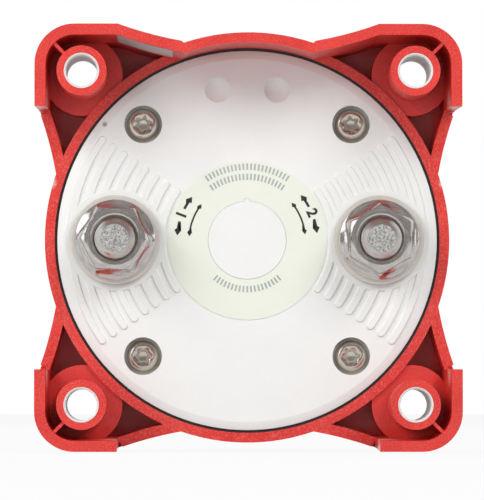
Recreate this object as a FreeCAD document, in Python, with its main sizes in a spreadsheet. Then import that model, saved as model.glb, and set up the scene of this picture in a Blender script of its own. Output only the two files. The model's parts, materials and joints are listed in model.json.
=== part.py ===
import FreeCAD, Part
import math
import os
import Sketcher

# Rotary battery switch for flush mounting on a bulkhead.
# Millimetres. +Z is up, the knob faces -Y and the mounting rim lies in the plane Y = 0.
# "Depth" is the distance from the rim plane towards the knob, so a depth of 25 is Y = -25.

os.makedirs("parts", exist_ok=True)
doc = FreeCAD.newDocument("battery_switch")

DIMS = {
    # housing outline, seen along the knob axis
    "overall": 133.35,            # side of the square
    "corner_radius": 12.5,
    "knee_reach": 40.8,           # where a straight side ends and its flank begins
    "flank_drop": 5.325,          # from the side of the square to where a flank meets the tub
    "flank_reach": 20.9,
    "flank_radius": 120.0,        # hollow curve of a flank
    "notch_width": 0.7,           # small step between flank and tub
    "wall": 3.4,                  # skirt wall
    "draft_angle": 2.0,           # lean of the skirt walls
    "tub_margin": 2.675,          # from the tub to the side of the square
    "tub_wall": 3.1,
    # housing levels
    "tub_depth": 25.0,            # rim of the tub and of the low walls
    "plate_depth": 38.0,          # floor of the pockets
    "plate_thickness": 3.0,
    "barrel_taper": 1.6,
    "front_wall": 4.0,
    "break_gap": 41.0,            # half the gap that a removed knock-out panel leaves
    "nick_depth": 2.4,
    "nick_width": 2.4,
    "nick_height": 6.0,
    # corner mounts
    "hole_inset": 14.625,         # from the side of the square to a mounting hole's axis
    "boss_radius": 7.8,
    "bushing_radius": 5.5,
    "bushing_bore": 4.85,
    "bushing_chamfer": 0.4,
    "recess_floor_depth": 28.5,   # seat of the bolt head, reached from the front
    "bolt_recess_radius": 9.6,
    "cup_radius": 12.6,
    "cup_depth": 26.0,
    "rib_thickness": 1.0,
    "rib_depth": 0.7,
    # back cover
    "cover_thickness": 6.0,
    "gasket_width": 0.85,
    "gasket_thickness": 1.0,
    "gasket_drop": 0.3,           # how far the seal stays below the cover face
    "ledge_width": 3.4,
    "bevel_width": 2.6,
    "bevel_drop": 0.5,
    "land_radius": 16.0,
    "relief": 0.6,                # height of the lands and bars
    "bar_ring_gap": 0.65,         # between the rating ring and the first bar
    "bar_edge_gap": 0.5,          # between the last bar and the bevel
    "bar_width": 2.4,
    "bar_angle": 34.8,
    "bar_count": 8,
    "bar_side_angle": 20.0,
    "hub_disc_height": 0.35,
    "key_width": 1.6,
    "ring_gap": 0.55,             # between the rating ring and a terminal's land
    "ring_band": 12.75,           # width of the rating ring
    "ring_thickness": 0.2,
    "ring_clearance": 0.15,
    "dimple_radius": 4.0,
    "dimple_sphere_radius": 5.0,
    "dimple_spacing": 18.8,
    "dimple_height": 47.6,
    # cover screws
    "screw_inset": 14.7,          # from the outside of the tub to a screw's axis
    "screw_angle": 48.1,          # of a screw above the line through the terminals
    "well_radius": 5.95,
    "well_depth": 3.4,
    "screw_head_radius": 4.98,
    "screw_head_height": 2.9,
    "screw_shank_radius": 2.0,
    "screw_length": 16.0,
    "screw_clearance": 0.4,
    "screw_post_radius": 5.5,
    # terminals
    "stud_inset": 22.25,          # from the outside of the tub to a stud's axis
    "stud_radius": 6.35,
    "stud_tip_depth": 5.0,
    "stud_chamfer": 1.85,
    "stud_head_radius": 11.0,
    "stud_head_height": 4.0,
    "stud_clearance": 0.15,
    "nut_across_flats": 19.05,
    "nut_height": 12.0,
    "nut_flange_radius": 12.75,
    "nut_flange_height": 1.5,
    "nut_flange_rise": 1.9,
    "nut_top_radius": 9.3,
    "nut_bevel_angle": 30.0,
    "nut_countersink": 0.85,
    "thread_depth": 0.5,          # from the crest of a thread to its pitch line
    "thread_relief": 0.2,         # between the nut and the free end of a stud
    "nut_1_turn": 2.0,
    "nut_2_turn": 30.0,
    "washer_radius": 14.05,
    "washer_thickness": 2.4,
    "contact_boss_radius": 14.0,
    "contact_boss_height": 3.5,
    "seal_section": 2.4,
    # fixed contacts
    "contact_width": 22.0,
    "contact_thickness": 5.0,
    "tip_radius": 5.5,
    "tip_thickness": 1.2,
    "tip_margin": 0.5,            # bar left showing past a silver face
    "tip_gap": 0.1,
    # rotor
    "bridge_gap": 3.75,           # between the end of the closed bridge and a stud's head
    "bridge_width": 20.0,
    "bridge_thickness": 4.5,
    "spring_height": 3.0,
    "spring_inner_radius": 7.2,
    "spring_outer_radius": 10.0,
    "spring_thickness": 1.2,
    "carrier_radius": 24.0,
    "carrier_thickness": 2.5,
    "carrier_hub_radius": 6.6,
    "carrier_pin_radius": 4.2,
    "pin_sink": 1.0,              # how far the carrier's pin reaches into the cover
    "hub_stand": 1.0,             # how far the carrier's hub stands past the bridge
    "pivot_boss_radius": 7.5,
    "pivot_boss_height": 6.5,
    "cradle_thickness": 2.6,
    "cradle_length": 34.0,
    "cradle_height": 5.6,
    "lug_reach": 28.2,
    "lug_angle": 16.0,
    "stop_angle": 11.0,
    "travel": 90.0,
    "stop_play_angle": 0.6,
    "side_clearance": 0.3,
    "running_clearance": 0.05,
    # shaft and its seal
    "shaft_radius": 6.0,
    "shaft_end_radius": 4.2,
    "shaft_end_flats": 6.6,
    "shaft_flats": 10.0,
    "shaft_end_length": 9.0,
    "thrust_radius": 14.0,
    "thrust_thickness": 1.9,
    "end_play": 0.1,
    "seal_radius": 9.0,
    "seal_height": 3.0,
    "ring_groove_radius": 5.2,
    "retainer_radius": 8.6,
    "retainer_thickness": 1.2,
    "retainer_gap": 5.0,
    # knob
    "knob_gap": 2.0,              # room between the front face and the knob
    "knob_height": 44.0,
    "knob_radius": 41.0,
    "knob_rim_height": 6.5,
    "knob_crown": 3.0,
    "knob_wall": 3.0,
    "knob_hub_radius": 11.5,
    "grip_length": 74.0,
    "grip_width": 23.0,
    "grip_side_angle": 3.0,
    "grip_round": 3.0,
    "knob_screw_radius": 2.4,
    "knob_screw_length": 12.0,
    "knob_screw_head_radius": 4.7,
    "knob_screw_head_height": 3.2,
    "knob_well_depth": 16.0,      # from the top of the grip to the seat of its screw
    "knob_web": 4.0,              # between that seat and the end of the shaft
    "cap_radius": 6.8,
    "cap_thickness": 1.5,
    "cap_plug_radius": 5.2,
    "cap_plug_length": 3.0,
}

sheet = doc.addObject("Spreadsheet::Sheet", "Dims")
for row, (alias, number) in enumerate(DIMS.items(), start=1):
    sheet.set("A%d" % row, alias)
    sheet.set("B%d" % row, str(number))
    sheet.setAlias("B%d" % row, alias)
doc.recompute()


class Size:
    """A size as a number for drawing and as a formula that ties it to the sheet."""

    def __init__(self, value, formula):
        self.value = float(value)
        self.formula = formula

    def __add__(self, other):
        other = as_size(other)
        return Size(self.value + other.value, "(%s + %s)" % (self.formula, other.formula))

    def __sub__(self, other):
        other = as_size(other)
        return Size(self.value - other.value, "(%s - %s)" % (self.formula, other.formula))

    def __mul__(self, other):
        other = as_size(other)
        return Size(self.value * other.value, "(%s * %s)" % (self.formula, other.formula))

    def __truediv__(self, other):
        other = as_size(other)
        return Size(self.value / other.value, "(%s / %s)" % (self.formula, other.formula))

    def __neg__(self):
        return self * -1


def as_size(thing):
    if isinstance(thing, Size):
        return thing
    return Size(thing, "(%r)" % float(thing))


def dim(alias):
    return Size(DIMS[alias], "Dims." + alias)


def leg(hypotenuse, other_leg):
    """The remaining leg of a right triangle."""
    square = hypotenuse * hypotenuse - other_leg * other_leg
    return Size(math.sqrt(square.value), "sqrt(%s)" % square.formula)


def lean(length, angle):
    """Sideways shift of a wall that leans by the angle over the length."""
    shift = length.value * math.tan(math.radians(angle.value))
    return Size(shift, "(%s * tan(%s * 1deg))" % (length.formula, angle.formula))


def polar(radius, angle):
    """Point at a radius and an angle in degrees, as two sizes."""
    turn = math.radians(angle.value)
    u = Size(radius.value * math.cos(turn), "(%s * cos(%s * 1deg))" % (radius.formula, angle.formula))
    v = Size(radius.value * math.sin(turn), "(%s * sin(%s * 1deg))" % (radius.formula, angle.formula))
    return u, v


HALF = "half circle"


class Drawing:
    """A sketch on one of its body's origin planes, with every size tied to the sheet.

    On XZ_Plane, u is X, v is Z and the level is a depth. On XY_Plane, u is a radius and v is Y."""

    def __init__(self, body, name, role="XZ_Plane", level=None):
        self.sketch = body.newObject("Sketcher::SketchObject", name)
        plane = [p for p in body.Origin.OriginFeatures if p.Role == role][0]
        self.sketch.AttachmentSupport = [(plane, "")]
        self.sketch.MapMode = "FlatFace"
        if level is not None:
            level = as_size(level)
            self.sketch.AttachmentOffset.Base = FreeCAD.Vector(0, 0, level.value)
            self.sketch.setExpression("AttachmentOffset.Base.z", level.formula)

        self.joins = []
        self.ties = []

    def tie(self, size, *constraint):
        self.ties.append((Sketcher.Constraint(*constraint, size.value), size.formula))

    def settle(self):
        """Gives the sketch the constraints gathered so far."""
        if self.joins:
            self.sketch.addConstraint(self.joins)
        first = self.sketch.ConstraintCount
        self.sketch.addConstraint([constraint for constraint, _ in self.ties])
        for number, (_, formula) in enumerate(self.ties):
            self.sketch.setExpression("Constraints[%d]" % (first + number), formula)
        self.joins = []
        self.ties = []

    def place(self, edge, end, u, v):
        """Ties a point of an edge to its distance from the sketch origin."""
        for kind, size in (("DistanceX", as_size(u)), ("DistanceY", as_size(v))):
            self.tie(size, kind, -1, 1, edge, end)

    def circle(self, radius, u=0, v=0):
        u = as_size(u)
        v = as_size(v)
        shape = Part.Circle(FreeCAD.Vector(u.value, v.value, 0), FreeCAD.Vector(0, 0, 1), radius.value)
        edge = self.sketch.addGeometry(shape, False)
        self.tie(radius, "Radius", edge)
        self.place(edge, 3, u, v)
        self.settle()

    def path(self, points):
        """Closed outline of (u, v) points. A third value bends the edge to the next point:
        a positive radius bulges out of a counter-clockwise outline, a negative one into it.
        HALF after the radius makes it a half circle, drawn as two quarters."""
        points = [(as_size(p[0]), as_size(p[1])) + tuple(p[2:]) for p in points]
        whole = []
        for here, following in zip(points, points[1:] + points[:1]):
            whole.append(here[:3])
            if here[3:] == (HALF,):
                tip_u = (here[0] + following[0] + following[1] - here[1]) / 2
                tip_v = (here[1] + following[1] + here[0] - following[0]) / 2
                whole.append((tip_u, tip_v, here[2]))
        points = whole
        ends = []
        for here, following in zip(points, points[1:] + points[:1]):
            a = FreeCAD.Vector(here[0].value, here[1].value, 0)
            b = FreeCAD.Vector(following[0].value, following[1].value, 0)
            if len(here) == 2:
                edge = self.sketch.addGeometry(Part.LineSegment(a, b), False)
                ends.append((edge, 1, 2))
                continue
            radius = abs(here[2].value)
            outwards = here[2].value > 0
            half = (b - a) * 0.5
            side = FreeCAD.Vector(-half.y, half.x, 0).normalize()
            rise = math.sqrt(max(radius ** 2 - half.Length ** 2, 0.0))
            centre = a + half + side * (rise if outwards else -rise)
            first, last = (a, b) if outwards else (b, a)
            start = math.atan2(first.y - centre.y, first.x - centre.x)
            stop = math.atan2(last.y - centre.y, last.x - centre.x)
            if stop < start:
                stop += 2 * math.pi
            round_edge = Part.Circle(centre, FreeCAD.Vector(0, 0, 1), radius)
            edge = self.sketch.addGeometry(Part.ArcOfCircle(round_edge, start, stop), False)
            ends.append((edge, 1, 2) if outwards else (edge, 2, 1))
        for (edge, _, end), (following, start, _) in zip(ends, ends[1:] + ends[:1]):
            self.joins.append(Sketcher.Constraint("Coincident", edge, end, following, start))
        for (edge, start, _), point in zip(ends, points):
            self.place(edge, start, point[0], point[1])
            if len(point) == 3:
                radius = point[2] if point[2].value > 0 else -point[2]
                self.tie(radius, "Radius", edge)
        self.settle()

    def box(self, u0, v0, u1, v1):
        self.path([(u0, v0), (u1, v0), (u1, v1), (u0, v1)])

    def turned(self, points):
        """Half section of a turned shape: (radius, depth) points."""
        self.path([(p[0], -as_size(p[1])) + tuple(p[2:]) for p in points])


def new_body(label):
    body = doc.addObject("PartDesign::Body", label)
    body.Label = label
    body.AllowCompound = True
    return body


def feature(body, kind, name, drawing):
    made = body.newObject("PartDesign::" + kind, name)
    made.Profile = drawing.sketch
    return made


def pad(body, name, drawing, length, taper=None):
    """Adds material from the sketch level towards greater depth."""
    made = feature(body, "Pad", name, drawing)
    length = as_size(length)
    made.Length = length.value
    made.setExpression("Length", length.formula)
    if taper is not None:
        made.TaperAngle = taper.value
        made.setExpression("TaperAngle", taper.formula)
    return made


def pocket(body, name, drawing, length):
    """Cuts from the sketch level towards greater depth."""
    made = feature(body, "Pocket", name, drawing)
    length = as_size(length)
    made.Reversed = True
    made.Length = length.value
    made.setExpression("Length", length.formula)
    return made


def spin(body, name, drawing, kind="Revolution"):
    """Turns a half section about the Y axis, adding it or cutting it."""
    made = feature(body, kind, name, drawing)
    made.ReferenceAxis = (drawing.sketch, ["V_Axis"])
    made.Angle = 360
    return made


def turned_body(label, points):
    body = new_body(label)
    drawing = Drawing(body, label + "_section", "XY_Plane")
    drawing.turned(points)
    spin(body, label + "_turned", drawing)
    return body


def at_terminal(body, terminal):
    """Puts a body made about the Y axis on the axis of terminal 1 (+X) or 2 (-X, turned half a turn)."""
    side = 1 if terminal == 1 else -1
    offset = stud_reach * side
    turn = FreeCAD.Rotation(FreeCAD.Vector(0, 1, 0), 0 if terminal == 1 else 180)
    body.Placement = FreeCAD.Placement(FreeCAD.Vector(offset.value, 0, 0), turn)
    body.setExpression("Placement.Base.x", offset.formula)


def corners(spacing_x, spacing_z):
    """The four points of a rectangular pattern about the knob axis."""
    for side in (1, -1):
        for level in (1, -1):
            yield spacing_x * (0.5 * side), spacing_z * (0.5 * level)


# Levels and radii that follow from the driving dimensions.
cover_back = dim("tub_depth") + dim("cover_thickness")
ledge_level = cover_back + dim("gasket_thickness")
tub_radius = dim("overall") / 2 - dim("tub_margin")
hole_spacing = dim("overall") - dim("hole_inset") * 2
seat_radius = tub_radius - dim("tub_wall")
cover_radius = seat_radius - dim("gasket_width")
plate_face = dim("plate_depth") + dim("plate_thickness")
cavity_radius = seat_radius - dim("ledge_width")
land_level = dim("tub_depth") - dim("relief")
washer_level = land_level - dim("washer_thickness")
contact_level = cover_back + dim("contact_boss_height")
contact_face = contact_level + dim("contact_thickness")
fixed_tip_face = contact_face + dim("tip_thickness")
moving_tip_face = fixed_tip_face + dim("tip_gap")
bridge_level = moving_tip_face + dim("tip_thickness")
bridge_back = bridge_level + dim("bridge_thickness")
carrier_level = bridge_back + dim("spring_height")
carrier_back = carrier_level + dim("carrier_thickness")
washer_start = carrier_back + dim("end_play")
cavity_floor = washer_start + dim("thrust_thickness")
barrel_face = cavity_floor + dim("front_wall")
retainer_level = barrel_face + dim("side_clearance")
knob_level = barrel_face + dim("knob_gap")
grip_top = knob_level + dim("knob_height")
knob_screw_seat = grip_top - dim("knob_well_depth")
shaft_top = knob_screw_seat - dim("knob_web")
shaft_end_level = carrier_back - dim("shaft_end_length")
pin_level = cover_back - dim("pin_sink")
hub_level = bridge_level - dim("hub_stand")
stud_reach = tub_radius - dim("stud_inset")
bridge_reach = stud_reach - dim("stud_head_radius") - dim("bridge_gap")
tip_reach = bridge_reach - dim("tip_radius") - dim("tip_margin")
screw_spot = polar(tub_radius - dim("screw_inset"), dim("screw_angle"))
screw_spots = (screw_spot[0] * 2, screw_spot[1] * 2)
ring_radius = stud_reach - dim("land_radius") - dim("ring_gap")
hub_disc_radius = ring_radius - dim("ring_band") - dim("ring_clearance")
bar_first = ring_radius + dim("bar_ring_gap") + dim("bar_width") / 2
bar_last = cover_radius - dim("bevel_width") - dim("bar_edge_gap") - dim("bar_width") / 2
nut_top = washer_level - dim("nut_height")
thread_radius = dim("stud_radius") - dim("thread_depth")
stud_hole = dim("stud_radius") + dim("stud_clearance")
shaft_bore = dim("shaft_radius") + dim("running_clearance")
seal_level = barrel_face - dim("seal_height")


def skirt_outline(drawing, inset, ring):
    """Square outline with rounded corners and hollow flanks that run into the round tub."""
    half = dim("overall") / 2 - inset
    corner = dim("corner_radius") - inset
    flank = half - dim("flank_drop")
    reach = dim("flank_reach")
    knee = dim("knee_reach")
    notch = reach - dim("notch_width")
    ring_height = leg(ring, notch)
    hollow = -dim("flank_radius")
    quarter = [
        (ring_height, notch),
        (flank, reach, hollow),
        (half, knee),
        (half, half - corner, corner),
        (half - corner, half),
        (knee, half, hollow),
        (reach, flank),
        (notch, ring_height, ring),
    ]
    points = []
    for turn in range(4):
        for point in quarter:
            u, v = point[0], point[1]
            for _ in range(turn):
                u, v = -v, u
            points.append((u, v) + tuple(point[2:]))
    drawing.path(points)


def housing():
    body = new_body("housing")
    # outer block of the skirt, leaning in towards the front
    rim = Drawing(body, "skirt_rim", level=0)
    skirt_outline(rim, as_size(0), tub_radius)
    front = Drawing(body, "skirt_front", level=plate_face)
    skirt_outline(front, lean(plate_face, dim("draft_angle")), tub_radius)
    block = feature(body, "AdditiveLoft", "skirt_block", rim)
    block.Sections = [front.sketch]
    block.Ruled = True
    # hollow of the skirt
    mouth = Drawing(body, "hollow_rim", level=0)
    skirt_outline(mouth, dim("wall"), seat_radius)
    floor = Drawing(body, "hollow_floor", level=dim("plate_depth"))
    skirt_outline(floor, dim("wall") + lean(dim("plate_depth"), dim("draft_angle")), seat_radius)
    hollow = feature(body, "SubtractiveLoft", "skirt_hollow", mouth)
    hollow.Sections = [floor.sketch]
    hollow.Ruled = True
    # knock-out panels removed on three sides, down to the level of the tub
    gap = dim("break_gap")
    far = dim("overall")
    near = cavity_radius - dim("wall")
    gaps = Drawing(body, "knock_out_gaps", level=0)
    gaps.box(near, -gap, far, gap)
    gaps.box(-far, -gap, -near, gap)
    gaps.box(-gap, -far, gap, -near)
    pocket(body, "knock_outs", gaps, dim("tub_depth"))
    # nicks that let the panels snap out
    nicks = Drawing(body, "nick_outline", level=dim("tub_depth"))
    edge = dim("overall") / 2 - lean(dim("tub_depth"), dim("draft_angle"))
    mouth_line = edge + 1
    low = gap - dim("nick_width")
    nick = [(mouth_line, low), (mouth_line, gap), (edge - dim("nick_depth"), gap - dim("nick_width") / 4)]
    for side in (1, -1):
        nicks.path([(u, v * side) for u, v in nick])
        nicks.path([(-u, v * side) for u, v in nick])
        nicks.path([(v * side, -u) for u, v in nick])
    pocket(body, "nicks", nicks, dim("nick_height"))
    # tub and barrel
    barrel = Drawing(body, "barrel_section", "XY_Plane")
    shoulder = barrel_face - dim("barrel_taper") * 2
    barrel.turned([
        (0, dim("tub_depth")),
        (tub_radius, dim("tub_depth")),
        (tub_radius, plate_face),
        (tub_radius - dim("barrel_taper"), shoulder, -dim("barrel_taper") * 2),
        (tub_radius - dim("barrel_taper") * 3, barrel_face),
        (0, barrel_face),
    ])
    spin(body, "barrel", barrel)
    # corner bosses, the cups round them and the ribs to the corners
    spots = list(corners(hole_spacing, hole_spacing))
    cups = Drawing(body, "cup_outline", level=dim("cup_depth"))
    bosses = Drawing(body, "boss_outline", level=0)
    for u, v in spots:
        cups.circle(dim("cup_radius"), u, v)
        bosses.circle(dim("boss_radius"), u, v)
    pad(body, "cups", cups, plate_face - dim("cup_depth"))
    pad(body, "bosses", bosses, dim("cup_depth"))
    ribs = Drawing(body, "rib_outline", level=dim("rib_depth"))
    half_rib = dim("rib_thickness") / 2 * math.sqrt(0.5)
    start = hole_spacing / 2 + dim("bushing_radius") * 0.9
    stop = dim("overall") / 2 - dim("corner_radius") * (1 - math.sqrt(0.5)) - dim("wall") * 0.6
    for u_side in (1, -1):
        for v_side in (1, -1):
            points = [
                (start + half_rib, start - half_rib),
                (stop + half_rib, stop - half_rib),
                (stop - half_rib, stop + half_rib),
                (start - half_rib, start + half_rib),
            ]
            ribs.path([(u * u_side, v * v_side) for u, v in points])
    pad(body, "ribs", ribs, dim("cup_depth") - dim("rib_depth"))
    # inside of the tub: seat of the cover, cavity, seal gland and shaft bore
    inside = Drawing(body, "tub_section", "XY_Plane")
    inside.turned([
        (0, 0),
        (seat_radius, 0),
        (seat_radius, ledge_level),
        (cavity_radius, ledge_level),
        (cavity_radius, cavity_floor),
        (shaft_bore, cavity_floor),
        (shaft_bore, seal_level),
        (dim("seal_radius"), seal_level),
        (dim("seal_radius"), barrel_face * 2),
        (0, barrel_face * 2),
    ])
    spin(body, "tub_inside", inside, "Groove")
    # posts for the cover screws
    posts = Drawing(body, "post_outline", level=cover_back)
    holes = Drawing(body, "post_holes", level=cover_back)
    for u, v in corners(*screw_spots):
        posts.circle(dim("screw_post_radius"), u, v)
        holes.circle(dim("screw_shank_radius"), u, v)
    pad(body, "screw_posts", posts, barrel_face - cover_back - dim("front_wall") / 2)
    pocket(body, "screw_holes", holes, dim("screw_length") - dim("cover_thickness") + dim("well_depth") + 1)
    # stops for the rotor's lug
    stops = Drawing(body, "stop_outline", level=carrier_level - 1)
    reach_in = dim("carrier_radius") + 0.5
    reach_out = dim("lug_reach") + 1.5
    half_lug = dim("lug_angle") / 2
    rest_edge = half_lug + dim("stop_play_angle") + 180
    live_edge = -half_lug - dim("stop_play_angle") + 180 - dim("travel")
    for low, high in ((rest_edge, rest_edge + dim("stop_angle")), (live_edge - dim("stop_angle"), live_edge)):
        stops.path([
            polar(reach_in, low),
            polar(reach_out, low) + (reach_out,),
            polar(reach_out, high),
            polar(reach_in, high) + (-reach_in,),
        ])
    pad(body, "stops", stops, cavity_floor - carrier_level + 2)
    # bolt holes: bore for the bushings and recess for the bolt heads
    bores = Drawing(body, "bushing_bores", level=-1)
    recesses = Drawing(body, "recess_outline", level=dim("recess_floor_depth"))
    for u, v in spots:
        bores.circle(dim("bushing_radius"), u, v)
        recesses.circle(dim("bolt_recess_radius"), u, v)
    pocket(body, "bushing_holes", bores, dim("overall"))
    pocket(body, "bolt_recesses", recesses, dim("overall"))
    return body


def mounting_bushings():
    body = new_body("mounting_bushings")
    tubes = Drawing(body, "bushing_tubes", level=0)
    bores = Drawing(body, "bushing_bores_cut", level=0)
    for u, v in corners(hole_spacing, hole_spacing):
        tubes.circle(dim("bushing_radius"), u, v)
        bores.circle(dim("bushing_bore"), u, v)
    pad(body, "tubes", tubes, dim("recess_floor_depth"))
    pocket(body, "bores", bores, dim("recess_floor_depth") * 2)
    return body


def back_cover():
    body = new_body("back_cover")
    face = dim("tub_depth")
    edge = cover_radius - dim("bevel_width")
    pivot_end = cover_back + dim("pivot_boss_height")
    section = Drawing(body, "cover_section", "XY_Plane")
    section.turned([
        (0, face),
        (edge, face),
        (cover_radius, face + dim("bevel_drop")),
        (cover_radius, cover_back),
        (dim("pivot_boss_radius"), cover_back),
        (dim("pivot_boss_radius"), pivot_end),
        (0, pivot_end),
    ])
    spin(body, "cover_disc", section)
    # raised disc at the centre with a key at the top
    disc = Drawing(body, "hub_disc_outline", level=face - dim("hub_disc_height"))
    disc.circle(hub_disc_radius)
    pad(body, "hub_disc", disc, dim("hub_disc_height") + 0.5)
    key = Drawing(body, "key_outline", level=face - dim("hub_disc_height"))
    half_key = dim("key_width") / 2
    key.box(-half_key, hub_disc_radius - 1, half_key, hub_disc_radius + half_key)
    pad(body, "key", key, dim("hub_disc_height") + 0.5)
    # lands under the terminals, and the bars that fan out from them
    lands = Drawing(body, "land_outline", level=land_level)
    bosses = Drawing(body, "contact_boss_outline", level=cover_back - 0.5)
    for side in (1, -1):
        lands.circle(dim("land_radius"), stud_reach * side, 0)
        bosses.circle(dim("contact_boss_radius"), stud_reach * side, 0)
    pad(body, "lands", lands, dim("relief") + 0.5)
    pad(body, "contact_bosses", bosses, dim("contact_boss_height") + 0.5)
    half_bar = dim("bar_width") / 2
    for number in range(int(DIMS["bar_count"])):
        bars = Drawing(body, "bar_outline_%d" % number, level=face + 0.1)
        middle = bar_first + (bar_last - bar_first) / (dim("bar_count") - 1) * number
        inner = middle - half_bar
        outer = middle + half_bar
        for start in (0, 180):
            low = as_size(start) - dim("bar_angle")
            high = as_size(start) + dim("bar_angle")
            bars.path([
                polar(outer, low) + (outer,),
                polar(outer, high) + (half_bar, HALF),
                polar(inner, high) + (-inner,),
                polar(inner, low) + (half_bar, HALF),
            ])
        raised = pad(body, "bars_%d" % number, bars, dim("relief") + 0.1, -dim("bar_side_angle"))
        raised.Reversed = True
    # dimples
    for side in (1, -1):
        bowl = body.newObject("PartDesign::SubtractiveSphere", "dimple_right" if side > 0 else "dimple_left")
        radius = dim("dimple_sphere_radius")
        bowl.Radius = radius.value
        bowl.setExpression("Radius", radius.formula)
        rise = leg(radius, dim("dimple_radius"))
        bowl.AttachmentSupport = [([p for p in body.Origin.OriginFeatures if p.Role == "XY_Plane"][0], "")]
        bowl.MapMode = "FlatFace"
        spot = (dim("dimple_spacing") * (0.5 * side), rise - face, dim("dimple_height"))
        bowl.AttachmentOffset.Base = FreeCAD.Vector(*[size.value for size in spot])
        for axis, size in zip("xyz", spot):
            bowl.setExpression("AttachmentOffset.Base." + axis, size.formula)
    # screw wells and holes
    wells = Drawing(body, "well_outline", level=land_level)
    holes = Drawing(body, "screw_hole_outline", level=land_level)
    for u, v in corners(*screw_spots):
        wells.circle(dim("well_radius"), u, v)
        holes.circle(dim("screw_shank_radius") + dim("screw_clearance"), u, v)
    pocket(body, "wells", wells, dim("well_depth") + dim("relief"))
    pocket(body, "screw_holes_through", holes, dim("overall"))
    # stud holes, with a gland for the seal on the inside
    stud_holes = Drawing(body, "stud_hole_outline", level=0)
    glands = Drawing(body, "gland_outline", level=contact_level - dim("seal_section"))
    for side in (1, -1):
        stud_holes.circle(stud_hole, stud_reach * side, 0)
        glands.circle(dim("stud_radius") + dim("seal_section"), stud_reach * side, 0)
    pocket(body, "stud_holes", stud_holes, dim("overall"))
    pocket(body, "glands", glands, dim("overall"))
    # bearing for the rotor's pin
    bearing = Drawing(body, "bearing_outline", level=pin_level - dim("side_clearance"))
    bearing.circle(dim("carrier_pin_radius") + dim("running_clearance"))
    pocket(body, "bearing", bearing, dim("overall"))
    return body


def cover_gasket():
    flat = cavity_radius
    return turned_body("cover_gasket", [
        (cover_radius, dim("tub_depth") + dim("gasket_drop") + dim("bevel_drop")),
        (seat_radius, dim("tub_depth") + dim("gasket_drop")),
        (seat_radius, ledge_level),
        (flat, ledge_level),
        (flat, cover_back),
        (cover_radius, cover_back),
    ])


def cover_screws():
    body = new_body("cover_screws")
    seat = dim("tub_depth") + dim("well_depth")
    top = seat - dim("screw_head_height")
    heads = Drawing(body, "screw_heads_outline", level=top)
    shanks = Drawing(body, "screw_shanks_outline", level=seat)
    for u, v in corners(*screw_spots):
        heads.circle(dim("screw_head_radius"), u, v)
        shanks.circle(dim("screw_shank_radius"), u, v)
    pad(body, "screw_heads", heads, dim("screw_head_height"))
    pad(body, "screw_shanks", shanks, dim("screw_length"))
    return body


def terminal(number):
    """The pieces on one terminal, made about the Y axis and then put in place."""
    end = "_%d" % number
    head_level = contact_face
    head_back = head_level + dim("stud_head_height")
    stud = turned_body("terminal_stud" + end, [
        (0, dim("stud_tip_depth")),
        (dim("stud_radius") - dim("stud_chamfer"), dim("stud_tip_depth")),
        (dim("stud_radius"), dim("stud_tip_depth") + dim("stud_chamfer")),
        (dim("stud_radius"), nut_top - dim("thread_relief")),
        (thread_radius, nut_top - dim("thread_relief")),
        (thread_radius, washer_level),
        (dim("stud_radius"), washer_level),
        (dim("stud_radius"), head_level),
        (dim("stud_head_radius"), head_level),
        (dim("stud_head_radius"), head_back),
        (0, head_back),
    ])
    washer = turned_body("terminal_washer" + end, [
        (stud_hole, washer_level),
        (dim("washer_radius"), washer_level),
        (dim("washer_radius"), land_level),
        (stud_hole, land_level),
    ])
    seal_start = contact_level - dim("seal_section")
    seal = turned_body("stud_seal" + end, [
        (dim("stud_radius"), seal_start),
        (dim("stud_radius") + dim("seal_section"), seal_start),
        (dim("stud_radius") + dim("seal_section"), contact_level),
        (dim("stud_radius"), contact_level),
    ])
    contact = new_body("fixed_contact" + end)
    plan = Drawing(contact, "contact_plan" + end, level=contact_level)
    half = dim("contact_width") / 2
    inward = tip_reach - dim("tip_radius") - dim("tip_margin") * 2 - stud_reach
    plan.path([(inward, -half), (0, -half, half, HALF), (0, half), (inward, half)])
    pad(contact, "contact_bar" + end, plan, dim("contact_thickness"))
    hole = Drawing(contact, "contact_hole" + end, level=contact_level)
    hole.circle(stud_hole)
    pocket(contact, "contact_drilled" + end, hole, dim("contact_thickness") * 2)
    for piece in (stud, washer, seal, contact, flange_nut(number)):
        at_terminal(piece, number)


def flange_nut(number):
    end = "_%d" % number
    body = new_body("flange_nut" + end)
    turn = dim("nut_%d_turn" % number)
    point_radius = dim("nut_across_flats") / math.sqrt(3)
    outline = Drawing(body, "hexagon" + end, level=nut_top)
    outline.path([polar(point_radius, turn + 60 * side) for side in range(6)])
    pad(body, "hexagon_block" + end, outline, dim("nut_height"))
    flange = Drawing(body, "flange_section" + end, "XY_Plane")
    rim_level = washer_level - dim("nut_flange_height")
    flange.turned([
        (0, washer_level),
        (dim("nut_flange_radius"), washer_level),
        (dim("nut_flange_radius"), rim_level),
        (dim("nut_across_flats") / 2, rim_level - dim("nut_flange_rise")),
        (0, rim_level - dim("nut_flange_rise")),
    ])
    spin(body, "flange" + end, flange)
    bevel = Drawing(body, "bevel_section" + end, "XY_Plane")
    drop = lean(point_radius - dim("nut_top_radius") + 1, dim("nut_bevel_angle"))
    bevel.turned([
        (dim("nut_top_radius"), nut_top),
        (point_radius + 1, nut_top + drop),
        (point_radius + 1, nut_top - 1),
        (dim("nut_top_radius"), nut_top - 1),
    ])
    spin(body, "bevel" + end, bevel, "Groove")
    bore = Drawing(body, "bore_section" + end, "XY_Plane")
    thread = thread_radius + dim("running_clearance")
    mouth = dim("stud_radius") + dim("nut_countersink")
    bore.turned([
        (0, nut_top - 1),
        (mouth, nut_top - 1),
        (mouth, nut_top),
        (thread, nut_top + mouth - thread),
        (thread, washer_level - mouth + thread),
        (mouth, washer_level),
        (0, washer_level),
    ])
    spin(body, "bore" + end, bore, "Groove")
    return body


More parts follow.
